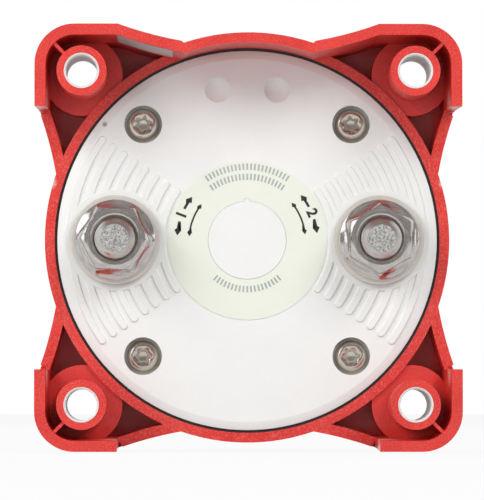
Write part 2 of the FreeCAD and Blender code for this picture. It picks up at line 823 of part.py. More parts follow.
def contact_tips(label, level, u, v):
    """Two silver faces, opposite each other about the knob axis."""
    body = new_body(label)
    plan = Drawing(body, label + "_plan", level=level)
    plan.circle(dim("tip_radius"), u, v)
    plan.circle(dim("tip_radius"), -as_size(u), -as_size(v))
    pad(body, label + "_discs", plan, dim("tip_thickness"))
    return body


def rating_ring():
    body = new_body("rating_ring")
    face = dim("tub_depth")
    section = Drawing(body, "ring_section", "XY_Plane")
    inner = ring_radius - dim("ring_band")
    section.turned([
        (inner, face - dim("ring_thickness")),
        (ring_radius, face - dim("ring_thickness")),
        (ring_radius, face),
        (inner, face),
    ])
    spin(body, "ring_turned", section)
    half_key = dim("key_width") / 2 + dim("ring_clearance")
    slot = Drawing(body, "key_slot_outline", level=face - dim("ring_thickness") * 2)
    slot.box(-half_key, as_size(0), half_key, hub_disc_radius + half_key)
    pocket(body, "key_slot", slot, dim("ring_thickness") * 4)
    return body


def contact_bridge():
    """Bar across the rotor, upright in the OFF position."""
    body = new_body("contact_bridge")
    plan = Drawing(body, "bridge_plan", level=bridge_level)
    half = dim("bridge_width") / 2
    end = bridge_reach
    straight = leg(end, half)
    plan.path([(half, -straight), (half, straight, end), (-half, straight), (-half, -straight, end)])
    pad(body, "bridge_bar", plan, dim("bridge_thickness"))
    hole = Drawing(body, "bridge_hole", level=bridge_level)
    hole.circle(dim("carrier_hub_radius") + dim("side_clearance"))
    pocket(body, "bridge_drilled", hole, dim("bridge_thickness") * 2)
    return body


def contact_carrier():
    body = new_body("contact_carrier")
    section = Drawing(body, "carrier_section", "XY_Plane")
    section.turned([
        (0, pin_level),
        (dim("carrier_pin_radius"), pin_level),
        (dim("carrier_pin_radius"), hub_level),
        (dim("carrier_hub_radius"), hub_level),
        (dim("carrier_hub_radius"), carrier_level),
        (dim("carrier_radius"), carrier_level),
        (dim("carrier_radius"), carrier_back),
        (0, carrier_back),
    ])
    spin(body, "carrier_turned", section)
    # cradle walls that drive the bridge
    walls = Drawing(body, "cradle_outline", level=carrier_level - dim("cradle_height"))
    near = dim("bridge_width") / 2 + dim("side_clearance")
    far = near + dim("cradle_thickness")
    half = dim("cradle_length") / 2
    for side in (1, -1):
        walls.path([(near * side, -half), (far * side, -half), (far * side, half), (near * side, half)])
    pad(body, "cradle", walls, dim("cradle_height") + 0.5)
    # lug that meets the housing's stops
    lug = Drawing(body, "lug_outline", level=carrier_level)
    root = dim("carrier_radius") - 2
    reach = dim("lug_reach")
    low = as_size(180) - dim("lug_angle") / 2
    high = as_size(180) + dim("lug_angle") / 2
    lug.path([
        polar(root, low),
        polar(reach, low) + (reach,),
        polar(reach, high),
        polar(root, high) + (-root,),
    ])
    pad(body, "lug", lug, dim("carrier_thickness"))
    # socket for the flatted end of the shaft
    socket = Drawing(body, "socket_outline", level=shaft_end_level)
    flatted_circle(socket, dim("shaft_end_radius"), dim("shaft_end_flats"))
    pocket(body, "socket", socket, dim("overall"))
    return body


def flatted_circle(drawing, radius, flats):
    """Circle with two opposite flats."""
    half = flats / 2
    reach = leg(radius, half)
    drawing.path([(half, -reach), (half, reach, radius), (-half, reach), (-half, -reach, radius)])


def contact_spring():
    inner = dim("spring_inner_radius")
    outer = dim("spring_outer_radius")
    thick = dim("spring_thickness")
    return turned_body("contact_spring", [
        (inner, bridge_back),
        (inner + thick, bridge_back),
        (outer, carrier_level),
        (outer - thick, carrier_level),
    ])


def drive_shaft():
    body = new_body("drive_shaft")
    inner = Drawing(body, "shaft_end_outline", level=shaft_end_level)
    flatted_circle(inner, dim("shaft_end_radius"), dim("shaft_end_flats"))
    pad(body, "shaft_end", inner, carrier_back - shaft_end_level)
    section = Drawing(body, "shaft_section", "XY_Plane")
    groove_start = retainer_level
    groove_end = retainer_level + dim("retainer_thickness")
    section.turned([
        (0, carrier_back),
        (dim("shaft_radius"), carrier_back),
        (dim("shaft_radius"), groove_start),
        (dim("ring_groove_radius"), groove_start),
        (dim("ring_groove_radius"), groove_end),
        (dim("shaft_radius"), groove_end),
        (dim("shaft_radius"), knob_level),
        (0, knob_level),
    ])
    spin(body, "shaft_turned", section)
    top = Drawing(body, "shaft_top_outline", level=knob_level)
    flatted_circle(top, dim("shaft_radius"), dim("shaft_flats"))
    pad(body, "shaft_top", top, shaft_top - knob_level)
    hole = Drawing(body, "shaft_screw_hole", level=shaft_top - dim("knob_screw_length"))
    hole.circle(dim("knob_screw_radius"))
    pocket(body, "shaft_tapped", hole, dim("overall"))
    return body


def shaft_seal():
    return turned_body("shaft_seal", [
        (shaft_bore, seal_level),
        (dim("seal_radius"), seal_level),
        (dim("seal_radius"), barrel_face),
        (shaft_bore, barrel_face),
    ])


def thrust_washer():
    inner = dim("shaft_radius") + dim("side_clearance")
    return turned_body("thrust_washer", [
        (inner, washer_start),
        (dim("thrust_radius"), washer_start),
        (dim("thrust_radius"), cavity_floor),
        (inner, cavity_floor),
    ])


def retaining_ring():
    body = new_body("retaining_ring")
    plan = Drawing(body, "retainer_plan", level=retainer_level)
    plan.circle(dim("retainer_radius"))
    plan.circle(dim("ring_groove_radius"))
    pad(body, "retainer_disc", plan, dim("retainer_thickness"))
    gap = Drawing(body, "retainer_gap_outline", level=retainer_level)
    half = dim("retainer_gap") / 2
    gap.box(-half, as_size(0), half, dim("retainer_radius") * 2)
    pocket(body, "retainer_open", gap, dim("retainer_thickness") * 2)
    return body


def knob():
    """Round base with a tapered grip bar whose pointer end looks to OFF at rest."""
    body = new_body("knob")
    rim_level = knob_level + dim("knob_rim_height")
    crown_level = rim_level + dim("knob_crown")
    under = knob_level + dim("knob_rim_height") - dim("knob_wall") * 0.5
    section = Drawing(body, "knob_section", "XY_Plane")
    section.turned([
        (0, knob_level),
        (dim("knob_hub_radius"), knob_level),
        (dim("knob_hub_radius"), under),
        (dim("knob_radius") - dim("knob_wall"), under),
        (dim("knob_radius") - dim("knob_wall"), knob_level),
        (dim("knob_radius"), knob_level),
        (dim("knob_radius"), rim_level, -dim("knob_crown")),
        (dim("knob_radius") - dim("knob_crown"), crown_level),
        (0, crown_level),
    ])
    spin(body, "knob_base", section)
    grip = Drawing(body, "grip_outline", level=under)
    half = dim("grip_width") / 2
    end = dim("grip_length") / 2
    grip.path([
        (-end, 0),
        (half - end, -half),
        (end - half, -half, half, HALF),
        (end - half, half),
        (half - end, half),
    ])
    pad(body, "grip", grip, grip_top - under, -dim("grip_side_angle"))
    flats = Drawing(body, "knob_socket_outline", level=knob_level - 1)
    flatted_circle(flats, dim("shaft_radius"), dim("shaft_flats"))
    pocket(body, "knob_socket", flats, shaft_top - knob_level + 1)
    well = Drawing(body, "knob_well_section", "XY_Plane")
    cap_level = grip_top - dim("cap_thickness")
    well.turned([
        (0, shaft_top - 1),
        (dim("knob_screw_radius") + dim("screw_clearance"), shaft_top - 1),
        (dim("knob_screw_radius") + dim("screw_clearance"), knob_screw_seat),
        (dim("cap_plug_radius"), knob_screw_seat),
        (dim("cap_plug_radius"), cap_level),
        (dim("cap_radius"), cap_level),
        (dim("cap_radius"), grip_top + 1),
        (0, grip_top + 1),
    ])
    spin(body, "knob_well", well, "Groove")
    return body


def knob_screw():
    seat = knob_screw_seat
    start = shaft_top - dim("knob_screw_length")
    head_end = seat + dim("knob_screw_head_height")
    return turned_body("knob_screw", [
        (0, start),
        (dim("knob_screw_radius"), start),
        (dim("knob_screw_radius"), seat),
        (dim("knob_screw_head_radius"), seat),
        (dim("knob_screw_head_radius"), head_end),
        (0, head_end),
    ])


def knob_cap():
    cap_level = grip_top - dim("cap_thickness")
    return turned_body("knob_cap", [
        (0, cap_level - dim("cap_plug_length")),
        (dim("cap_plug_radius"), cap_level - dim("cap_plug_length")),
        (dim("cap_plug_radius"), cap_level),
        (dim("cap_radius"), cap_level),
        (dim("cap_radius"), grip_top),
        (0, grip_top),
    ])


housing()
mounting_bushings()
back_cover()
cover_gasket()
cover_screws()
rating_ring()
terminal(1)
terminal(2)
contact_tips("fixed_contact_tips", contact_face, tip_reach, 0)
contact_tips("bridge_contact_tips", moving_tip_face, 0, tip_reach)
contact_bridge()
contact_carrier()
contact_spring()
drive_shaft()
shaft_seal()
thrust_washer()
retaining_ring()
knob()
knob_screw()
knob_cap()
doc.recompute()

# Nothing is written unless every object is sound and every cut took something away.
ADDING = ("PartDesign::Pad", "PartDesign::Revolution", "PartDesign::AdditiveLoft")
CUTTING = ("PartDesign::Pocket", "PartDesign::Groove", "PartDesign::SubtractiveLoft",
           "PartDesign::SubtractiveSphere")
problems = []
for thing in doc.Objects:
    if "Invalid" in thing.State or "Error" in thing.State:
        problems.append("%s is %s" % (thing.Name, thing.State))
bodies = [thing for thing in doc.Objects if thing.TypeId == "PartDesign::Body"]
for body in bodies:
    before = 0.0
    for step in body.Group:
        if step.TypeId in ADDING and step.Shape.Volume <= before:
            problems.append("%s adds nothing" % step.Name)
        if step.TypeId in CUTTING and step.Shape.Volume >= before:
            problems.append("%s cuts nothing" % step.Name)
        if step.TypeId in ADDING + CUTTING:
            before = step.Shape.Volume
    if body.Shape.isNull() or not body.Shape.isValid():
        problems.append("%s has no valid shape" % body.Label)
if problems:
    raise RuntimeError("\n".join(problems))
for body in bodies:
    body.Shape.exportStep("parts/%s.step" % body.Label)
    print("%-22s solids %d volume %.1f" % (body.Label, len(body.Shape.Solids), body.Shape.Volume))
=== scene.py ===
"""Battery switch: finishes, fine pieces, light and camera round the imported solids."""
import json
import math

import bmesh
import bpy
from mathutils import Matrix, Vector
from mathutils.bvhtree import BVHTree


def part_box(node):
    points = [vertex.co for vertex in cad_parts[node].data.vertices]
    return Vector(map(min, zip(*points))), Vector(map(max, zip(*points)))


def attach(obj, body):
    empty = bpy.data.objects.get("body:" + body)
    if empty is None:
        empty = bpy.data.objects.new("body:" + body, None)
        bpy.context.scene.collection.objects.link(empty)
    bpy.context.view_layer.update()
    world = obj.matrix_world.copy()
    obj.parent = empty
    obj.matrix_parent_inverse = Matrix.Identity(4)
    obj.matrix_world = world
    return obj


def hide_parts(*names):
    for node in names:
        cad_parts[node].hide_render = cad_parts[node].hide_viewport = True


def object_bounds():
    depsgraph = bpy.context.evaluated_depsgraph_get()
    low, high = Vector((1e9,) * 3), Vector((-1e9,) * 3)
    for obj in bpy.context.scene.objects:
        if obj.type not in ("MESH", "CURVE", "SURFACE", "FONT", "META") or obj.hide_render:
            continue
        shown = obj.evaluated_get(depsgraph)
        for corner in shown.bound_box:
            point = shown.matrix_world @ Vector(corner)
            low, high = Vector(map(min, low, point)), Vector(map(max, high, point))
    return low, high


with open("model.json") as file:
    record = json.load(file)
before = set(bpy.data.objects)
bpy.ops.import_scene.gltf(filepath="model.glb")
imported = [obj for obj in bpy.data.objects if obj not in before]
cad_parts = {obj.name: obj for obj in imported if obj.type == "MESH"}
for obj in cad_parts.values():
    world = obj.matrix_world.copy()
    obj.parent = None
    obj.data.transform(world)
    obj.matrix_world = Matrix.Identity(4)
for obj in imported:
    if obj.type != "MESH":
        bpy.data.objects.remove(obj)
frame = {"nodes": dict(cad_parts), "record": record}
cad_low, cad_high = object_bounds()

MM = 0.001
CASE = "switch_case"
ROTOR = "rotor"
LOW_RIM = -25.0 * MM          # rim of the tub and of the low walls
POCKET_FLOOR = -38.0 * MM
MERGE_GAP = 0.001 * MM
SOLID_MERGE_GAP = 0.002 * MM  # for copies of the solids' meshes
SQUARE_ON = 0.9999            # share of a face's normal along Y from which it is shaded flat
PLASTIC_IOR = 1.49
nodes = frame["nodes"]
mounts = {mount["name"]: mount for mount in frame["record"]["mounts"]}

# ---------------- places on the switch


def node_top(node):
    """Depth of the node's face nearest the bulkhead, along Y."""
    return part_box(node)[1][1]


def node_bottom(node):
    """Depth of the node's face nearest the knob, along Y."""
    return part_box(node)[0][1]


def node_radius(node):
    """Half the width of a round node."""
    low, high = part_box(node)
    return (high[0] - low[0]) / 2


stud_places = [(mounts[name]["pos_m"][0], mounts[name]["pos_m"][2]) for name in ("stud_1", "stud_2")]
stud_radius = mounts["stud_1"]["dims"]["r_mm"] * MM
hole_half = mounts["mounting_holes"]["dims"]["spacing_x_mm"] * MM / 2
screw_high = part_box("cover_screws")[1]
screw_radius = 4.98 * MM
screw_x = screw_high[0] - screw_radius
screw_z = screw_high[2] - screw_radius

# ---------------- mesh helpers


def placed(name, data):
    """Object that holds a mesh, curve, lamp or camera, linked to the scene."""
    thing = bpy.data.objects.new(name, data)
    bpy.context.scene.collection.objects.link(thing)
    return thing


def mesh_from(solid, name):
    """Mesh from an edit mesh, which is freed."""
    mesh = bpy.data.meshes.new(name)
    solid.to_mesh(mesh)
    solid.free()
    return mesh


def worked_out(carrier):
    """Plain mesh of an object with its modifiers applied. The object is removed."""
    graph = bpy.context.evaluated_depsgraph_get()
    mesh = bpy.data.meshes.new_from_object(carrier.evaluated_get(graph))
    bpy.data.objects.remove(carrier)
    return mesh


def finished(name, mesh, body, material, smooth):
    """A named piece from a mesh, with normals outwards, riding on a body.

    Edges that turn by more than smooth degrees stay sharp, and faces square to the knob's axis are flat.
    """
    solid = bmesh.new()
    solid.from_mesh(mesh)
    bmesh.ops.remove_doubles(solid, verts=solid.verts, dist=MERGE_GAP)
    bmesh.ops.recalc_face_normals(solid, faces=solid.faces)
    solid.to_mesh(mesh)
    solid.free()
    mesh.set_sharp_from_angle(angle=math.radians(smooth))
    for face in mesh.polygons:
        face.use_smooth = abs(face.normal.y) < SQUARE_ON
    mesh.materials.clear()
    mesh.materials.append(material)
    piece = placed(name, mesh)
    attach(piece, body)
    return piece


def turned_mesh(name, profile, segments, centre, shape=None, start=0.0):
    """Mesh turned about a line along Y. profile holds (radius, y) pairs in order.

    shape, where it is given, returns the radius at an angle for a profile point's number.
    """
    mesh = bpy.data.meshes.new(name)
    vertices, rings = [], []
    for index, (radius, y) in enumerate(profile):
        if radius == 0:
            rings.append([len(vertices)])
            vertices.append((centre[0], y, centre[1]))
            continue
        ring = []
        for step in range(segments):
            angle = start + 2 * math.pi * step / segments
            reach = shape(index, angle, radius) if shape else radius
            ring.append(len(vertices))
            x, z = centre[0] + reach * math.cos(angle), centre[1] + reach * math.sin(angle)
            vertices.append((x, y, z))
        rings.append(ring)
    faces = []
    for first, second in zip(rings, rings[1:]):
        for step in range(segments):
            after = (step + 1) % segments
            if len(first) == 1:
                faces.append((first[0], second[step], second[after]))
            elif len(second) == 1:
                faces.append((first[step], second[0], first[after]))
            else:
                faces.append((first[step], second[step], second[after], first[after]))
    mesh.from_pydata(vertices, [], faces)
    return mesh


def joined_mesh(name, meshes):
    """One mesh from several."""
    solid = bmesh.new()
    for part in meshes:
        solid.from_mesh(part)
    return mesh_from(solid, name)


def eased_mesh(name, node, width):
    """Copy of a node's mesh with its edges rounded off."""
    solid = bmesh.new()
    solid.from_mesh(nodes[node].data)
    bmesh.ops.remove_doubles(solid, verts=solid.verts, dist=SOLID_MERGE_GAP)
    bmesh.ops.dissolve_limit(solid, angle_limit=math.radians(0.6), verts=solid.verts, edges=solid.edges)
    carrier = placed(name, mesh_from(solid, name))
    bevel = carrier.modifiers.new("eased_edges", "BEVEL")
    bevel.width = width
    bevel.segments = 2
    bevel.limit_method = "ANGLE"
    bevel.angle_limit = math.radians(30.0)
    bevel.use_clamp_overlap = True
    return worked_out(carrier)


def geometry_tree(name, inputs):
    """Geometry Nodes tree that takes a form, the named inputs and a finish, with its two ends."""
    tree = bpy.data.node_groups.new(name, "GeometryNodeTree")
    for label, kind in (("Geometry", "Geometry"), *inputs, ("Finish", "Material")):
        tree.interface.new_socket(name=label, in_out="INPUT", socket_type="NodeSocket" + kind)
    tree.interface.new_socket(name="Geometry", in_out="OUTPUT", socket_type="NodeSocketGeometry")
    return tree, tree.nodes.new("NodeGroupInput"), tree.nodes.new("NodeGroupOutput")


def close_tree(tree, copies, source, sink):
    """End of a tree: its copies are made real and take the finish."""
    real = tree.nodes.new("GeometryNodeRealizeInstances")
    paint = tree.nodes.new("GeometryNodeSetMaterial")
    tree.links.new(copies, real.inputs[0])
    tree.links.new(real.outputs[0], paint.inputs["Geometry"])
    tree.links.new(source.outputs["Finish"], paint.inputs["Material"])
    tree.links.new(paint.outputs[0], sink.inputs["Geometry"])


def grown_mesh(form, tree, values):
    """Mesh that a tree makes from a form, with its inputs set from a dictionary."""
    carrier = placed("form_carrier", form)
    modifier = carrier.modifiers.new("copies", "NODES")
    modifier.node_group = tree
    sockets = [item for item in tree.interface.items_tree if item.in_out == "INPUT"]
    identifiers = {socket.name: socket.identifier for socket in sockets}
    for label, value in values.items():
        modifier[identifiers[label]] = value
    return worked_out(carrier)


# ---------------- material helpers


def new_group(name, inputs, outputs):
    """Shader node group with inputs (name, default) and number outputs.

    An input without a default is a vector.
    """
    group = bpy.data.node_groups.new(name, "ShaderNodeTree")
    for label, default in inputs:
        kind = "NodeSocketVector" if default is None else "NodeSocketFloat"
        socket = group.interface.new_socket(name=label, in_out="INPUT", socket_type=kind)
        if default is not None:
            socket.default_value = default
    for label in outputs:
        group.interface.new_socket(name=label, in_out="OUTPUT", socket_type="NodeSocketFloat")
    return group, group.nodes.new("NodeGroupInput"), group.nodes.new("NodeGroupOutput")


def noise_node(tree, vector, scale, detail=2.0, rough=0.5):
    """Noise at a scale, which is a number or a socket."""
    node = tree.nodes.new("ShaderNodeTexNoise")
    node.inputs["Detail"].default_value = detail
    node.inputs["Roughness"].default_value = rough
    tree.links.new(vector, node.inputs["Vector"])
    if isinstance(scale, (int, float)):
        node.inputs["Scale"].default_value = scale
    else:
        tree.links.new(scale, node.inputs["Scale"])
    return node.outputs["Fac"]


def math_node(tree, operation, first, second=None, clamp=False):
    """Result of one sum. The values are numbers or sockets."""
    node = tree.nodes.new("ShaderNodeMath")
    node.operation = operation
    node.use_clamp = clamp
    for index, value in enumerate((first, second)):
        if value is None:
            continue
        if isinstance(value, (int, float)):
            node.inputs[index].default_value = value
        else:
            tree.links.new(value, node.inputs[index])
    return node.outputs[0]


def product(tree, first, second):
    """One value times another."""
    return math_node(tree, "MULTIPLY", first, second)


def distance_node(tree, side, rise):
    """Length of the slope that goes side along and rise up."""
    squares = math_node(tree, "ADD", product(tree, side, side), product(tree, rise, rise))
    return math_node(tree, "SQRT", squares)


def axes_of(tree, vector):
    """X, Y and Z of a vector."""
    split = tree.nodes.new("ShaderNodeSeparateXYZ")
    tree.links.new(vector, split.inputs[0])
    return split.outputs[0], split.outputs[1], split.outputs[2]


def span_node(tree, value, low, high, start=0.0, end=1.0):
    """value from low..high to start..end, clamped."""
    node = tree.nodes.new("ShaderNodeMapRange")
    node.clamp = True
    tree.links.new(value, node.inputs["Value"])
    for label, number in (("From Min", low), ("From Max", high), ("To Min", start), ("To Max", end)):
        if isinstance(number, (int, float)):
            node.inputs[label].default_value = number
        else:
            tree.links.new(number, node.inputs[label])
    return node.outputs["Result"]


def mix_node(tree, factor, first, second):
    """Colour mix; first and second are sockets or colours."""
    node = tree.nodes.new("ShaderNodeMix")
    node.data_type = "RGBA"
    for socket, value in ((node.inputs[0], factor), (node.inputs[6], first), (node.inputs[7], second)):
        if isinstance(value, bpy.types.NodeSocket):
            tree.links.new(value, socket)
        else:
            socket.default_value = (*value, 1.0)
    return node.outputs[2]


def make_grain_group():
    """Fine moulded or blasted texture: Height for a bump, Shade for colour and roughness."""
    group, source, sink = new_group(
        "moulded_grain",
        [("Vector", None), ("Grain Size", 0.6 * MM), ("Cloud Size", 12.0 * MM)],
        ["Height", "Shade"],
    )
    fine = math_node(group, "DIVIDE", 1.0, source.outputs["Grain Size"])
    broad = math_node(group, "DIVIDE", 1.0, source.outputs["Cloud Size"])
    grain = noise_node(group, source.outputs["Vector"], fine, 3.0, 0.6)
    cloud = noise_node(group, source.outputs["Vector"], broad, 4.0, 0.55)
    shade = math_node(group, "ADD", product(group, grain, 0.4), product(group, cloud, 0.6))
    group.links.new(grain, sink.inputs["Height"])
    group.links.new(shade, sink.inputs["Shade"])
    return group


def make_turned_group():
    """Fine rings left by turning or rolling about an axis along Y through Centre."""
    group, source, sink = new_group(
        "turned_rings",
        [("Vector", None), ("Centre", None), ("Ring Pitch", 0.3 * MM), ("Stretch", 0.08)],
        ["Height", "Shade"],
    )
    shift = group.nodes.new("ShaderNodeVectorMath")
    shift.operation = "SUBTRACT"
    group.links.new(source.outputs["Vector"], shift.inputs[0])
    group.links.new(source.outputs["Centre"], shift.inputs[1])
    side, depth, rise = axes_of(group, shift.outputs[0])
    radius = distance_node(group, side, rise)
    angle = math_node(group, "ARCTAN2", rise, side)
    pitch, stretch = source.outputs["Ring Pitch"], source.outputs["Stretch"]
    along = group.nodes.new("ShaderNodeCombineXYZ")
    for socket, length, unit in zip(along.inputs, (radius, depth, angle), (pitch, pitch, stretch)):
        group.links.new(math_node(group, "DIVIDE", length, unit), socket)
    rings = noise_node(group, along.outputs[0], 1.0, 2.0, 0.6)
    group.links.new(rings, sink.inputs["Height"])
    group.links.new(rings, sink.inputs["Shade"])
    return group


def make_patch_group():
    """Soft round patch: Mask is 1 at Centre and 0 beyond Radius, broken up by Rag."""
    group, source, sink = new_group(
        "soft_patch",
        [("Vector", None), ("Centre", None), ("Radius", 10.0 * MM), ("Rag", 0.4), ("Rag Size", 1.0 * MM)],
        ["Mask"],
    )
    gap = group.nodes.new("ShaderNodeVectorMath")
    gap.operation = "DISTANCE"
    group.links.new(source.outputs["Vector"], gap.inputs[0])
    group.links.new(source.outputs["Centre"], gap.inputs[1])
    share = math_node(group, "DIVIDE", gap.outputs["Value"], source.outputs["Radius"])
    near = math_node(group, "SUBTRACT", 1.0, share, clamp=True)
    scale = math_node(group, "DIVIDE", 1.0, source.outputs["Rag Size"])
    rag = noise_node(group, source.outputs["Vector"], scale, 3.0, 0.65)
    rough = product(group, math_node(group, "SUBTRACT", rag, 0.5), source.outputs["Rag"])
    inside = math_node(group, "GREATER_THAN", near, 0.0)
    broken = math_node(group, "ADD", near, product(group, rough, inside))
    group.links.new(span_node(group, broken, 0.05, 0.6), sink.inputs["Mask"])
    return group


def make_speckle_group():
    """Small ragged flecks: Mask is 1 on a fleck. Cover sets how few there are."""
    group, source, sink = new_group(
        "fine_speckle",
        [("Vector", None), ("Grain Size", 0.4 * MM), ("Cover", 0.6)],
        ["Mask", "Shade"],
    )
    scale = math_node(group, "DIVIDE", 1.0, source.outputs["Grain Size"])
    flecks = noise_node(group, source.outputs["Vector"], scale, 2.0, 0.7)
    edge = math_node(group, "ADD", source.outputs["Cover"], 0.07)
    group.links.new(span_node(group, flecks, source.outputs["Cover"], edge), sink.inputs["Mask"])
    group.links.new(flecks, sink.inputs["Shade"])
    return group


grain_group = make_grain_group()
speckle_group = make_speckle_group()
turned_group = make_turned_group()
patch_group = make_patch_group()


class Finish:
    """One material under construction: a Principled surface and its Object coordinates."""

    def __init__(self, name, **constants):
        self.material = bpy.data.materials.new(name)
        self.material.use_nodes = True
        self.tree = self.material.node_tree
        self.surface = self.tree.nodes["Principled BSDF"]
        for label, value in constants.items():
            self.surface.inputs[label].default_value = value
        self.place = self.tree.nodes.new("ShaderNodeTexCoord").outputs["Object"]

    def group(self, group, **values):
        """Outputs of a shared effect, with its own values."""
        node = self.tree.nodes.new("ShaderNodeGroup")
        node.node_tree = group
        self.tree.links.new(self.place, node.inputs["Vector"])
        for label, value in values.items():
            node.inputs[label.replace("_", " ")].default_value = value
        return node.outputs

    def colour(self, socket):
        """Base colour from a socket."""
        self.tree.links.new(socket, self.surface.inputs["Base Color"])

    def wear(self, shade, roughness, height, depth):
        """Roughness that follows a shade between two values, and a bump of a given depth."""
        rough = span_node(self.tree, shade, 0.3, 0.7, *roughness)
        self.tree.links.new(rough, self.surface.inputs["Roughness"])
        node = self.tree.nodes.new("ShaderNodeBump")
        node.inputs["Strength"].default_value = 1.0
        node.inputs["Distance"].default_value = depth
        self.tree.links.new(height, node.inputs["Height"])
        self.tree.links.new(node.outputs["Normal"], self.surface.inputs["Normal"])


def plastic_finish(name, low, high, grain, depth, roughness, metallic=0.0):
    """Moulded plastic or coated metal: two close colours, fine grain."""
    finish = Finish(name, IOR=PLASTIC_IOR, Metallic=metallic)
    marks = finish.group(grain_group, Grain_Size=grain, Cloud_Size=14.0 * MM)
    finish.colour(mix_node(finish.tree, span_node(finish.tree, marks["Shade"], 0.35, 0.65), low, high))
    finish.wear(marks["Shade"], roughness, marks["Height"], depth)
    return finish


def metal_finish(name, low, high, centre, pitch, depth, roughness, stretch=0.1, metallic=1.0):
    """Turned or rolled metal with fine rings about its own axis."""
    finish = Finish(name, Metallic=metallic)
    marks = finish.group(turned_group, Centre=centre, Ring_Pitch=pitch, Stretch=stretch)
    finish.colour(mix_node(finish.tree, span_node(finish.tree, marks["Shade"], 0.3, 0.7), low, high))
    finish.wear(marks["Shade"], roughness, marks["Height"], depth)
    return finish


def mottled_finish(name, dark, pale, grain, metallic):
    """Sawn or blasted steel: dark and pale flecks side by side."""
    finish = Finish(name, Metallic=metallic)
    flecks = finish.group(speckle_group, Grain_Size=grain, Cover=0.5)
    finish.colour(mix_node(finish.tree, span_node(finish.tree, flecks["Shade"], 0.40, 0.60), dark, pale))
    finish.wear(flecks["Shade"], (0.36, 0.60), flecks["Shade"], 0.08 * MM)
    return finish


# ---------------- finishes

RED_DEEP = (0.60, 0.022, 0.018)
RED_BRIGHT = (0.72, 0.042, 0.032)
SCUFF = (0.86, 0.52, 0.47)
# painted highlight: colour of the glints mixed into the red
PAINTED_GLINT = (0.90, 0.30, 0.26)
# pocket tint: partly dust, partly painted sheen that lifts the shaded pockets towards grey
DUST_AND_PAINTED_SHEEN = (0.50, 0.24, 0.24)

# x, y, z and radius, in mm, of the pale marks at the knock-outs, on the low rims and in the pockets.
STRESS_MARKS = [
    (65.0, -9.0, 40.8, 8.8), (-65.0, -9.0, 40.8, 8.0), (65.0, -9.0, -40.8, 8.0),
    (-65.0, -9.0, -40.8, 7.0), (40.8, -10.0, -65.0, 8.0), (-40.8, -10.0, -65.0, 8.0),
    (61.8, -25.5, 18.0, 2.0), (-61.8, -25.5, 18.0, 1.8), (60.0, -33.0, 32.0, 4.4),
    (57.5, -34.0, 29.0, 3.0), (33.0, -33.0, -59.0, 3.6), (-33.5, -33.0, -58.0, 4.4),
]


def make_housing_finish():
    """Red moulding: grain with painted glints, most of them on the rims and upper walls; a paler tint in the
    pockets, partly dust and partly painted sheen; pale stress marks at the knock-outs.
    """
    finish = Finish("red_housing", IOR=PLASTIC_IOR)
    tree = finish.tree
    marks = finish.group(grain_group, Grain_Size=0.55 * MM, Cloud_Size=16.0 * MM)
    colour = mix_node(tree, span_node(tree, marks["Shade"], 0.38, 0.62), RED_DEEP, RED_BRIGHT)
    # painted highlight: pale red flecks in the colour stand in for glints of light, stronger on the rims and
    # upper walls than lower down
    painted_glints = finish.group(speckle_group, Grain_Size=0.40 * MM, Cover=0.53)
    side, depth, rise = axes_of(tree, finish.place)
    painted_glint_share = span_node(tree, depth, LOW_RIM - 0.8 * MM, LOW_RIM - 0.2 * MM, 0.05, 0.28)
    colour = mix_node(tree, product(tree, painted_glints["Mask"], painted_glint_share), colour, PAINTED_GLINT)
    # partly dust, partly painted sheen: a paler tint mixed in below the low rims, inside the skirt walls,
    # where the pockets lie in shade
    sunk = span_node(tree, depth, LOW_RIM + 1.0 * MM, POCKET_FLOOR + 4.0 * MM)
    behind = math_node(tree, "GREATER_THAN", depth, POCKET_FLOOR - 1.5 * MM)
    reach = math_node(tree, "MAXIMUM", math_node(tree, "ABSOLUTE", side), math_node(tree, "ABSOLUTE", rise))
    inside = span_node(tree, reach, 60.0 * MM, 58.5 * MM)
    dust_and_sheen_share = product(tree, product(tree, sunk, behind), inside)
    colour = mix_node(tree, product(tree, dust_and_sheen_share, 0.36), colour, DUST_AND_PAINTED_SHEEN)
    pale = None
    for x, y, z, radius in STRESS_MARKS:
        centre = (x * MM, y * MM, z * MM)
        patch = finish.group(patch_group, Centre=centre, Radius=radius * MM, Rag=1.5, Rag_Size=0.9 * MM)
        pale = patch["Mask"] if pale is None else math_node(tree, "MAXIMUM", pale, patch["Mask"])
    finish.colour(mix_node(tree, product(tree, pale, 0.66), colour, SCUFF))
    finish.wear(marks["Shade"], (0.24, 0.44), marks["Height"], 0.11 * MM)
    return finish.material


def make_cover_finish():
    """White moulding, faintly clouded, with painted shade in the screw wells and one dark speck near its
    edge.
    """
    finish = Finish("white_cover", IOR=PLASTIC_IOR)
    tree = finish.tree
    marks = finish.group(grain_group, Grain_Size=0.7 * MM, Cloud_Size=14.0 * MM)
    cloud = span_node(tree, marks["Shade"], 0.35, 0.65)
    colour = mix_node(tree, cloud, (0.785, 0.797, 0.783), (0.815, 0.827, 0.813))
    speck_centre = (45.1 * MM, -25.2 * MM, 36.7 * MM)
    speck = finish.group(patch_group, Centre=speck_centre, Radius=1.1 * MM, Rag=0.4, Rag_Size=0.5 * MM)
    colour = mix_node(tree, product(tree, speck["Mask"], 0.7), colour, (0.12, 0.12, 0.13))
    side, depth, rise = axes_of(tree, finish.place)
    # painted shade: the wells' walls below the cover face are darkened towards olive brown, where shade
    # falls round the screw heads
    off_side = math_node(tree, "SUBTRACT", math_node(tree, "ABSOLUTE", side), screw_x)
    off_rise = math_node(tree, "SUBTRACT", math_node(tree, "ABSOLUTE", rise), screw_z)
    in_well = math_node(tree, "LESS_THAN", distance_node(tree, off_side, off_rise), 6.05 * MM)
    sunk = span_node(tree, depth, LOW_RIM - 0.2 * MM, LOW_RIM - 1.8 * MM)
    painted_well_shade = product(tree, product(tree, in_well, sunk), 0.55)
    finish.colour(mix_node(tree, painted_well_shade, colour, (0.34, 0.31, 0.25)))
    finish.wear(marks["Shade"], (0.40, 0.55), marks["Height"], 0.02 * MM)
    return finish.material


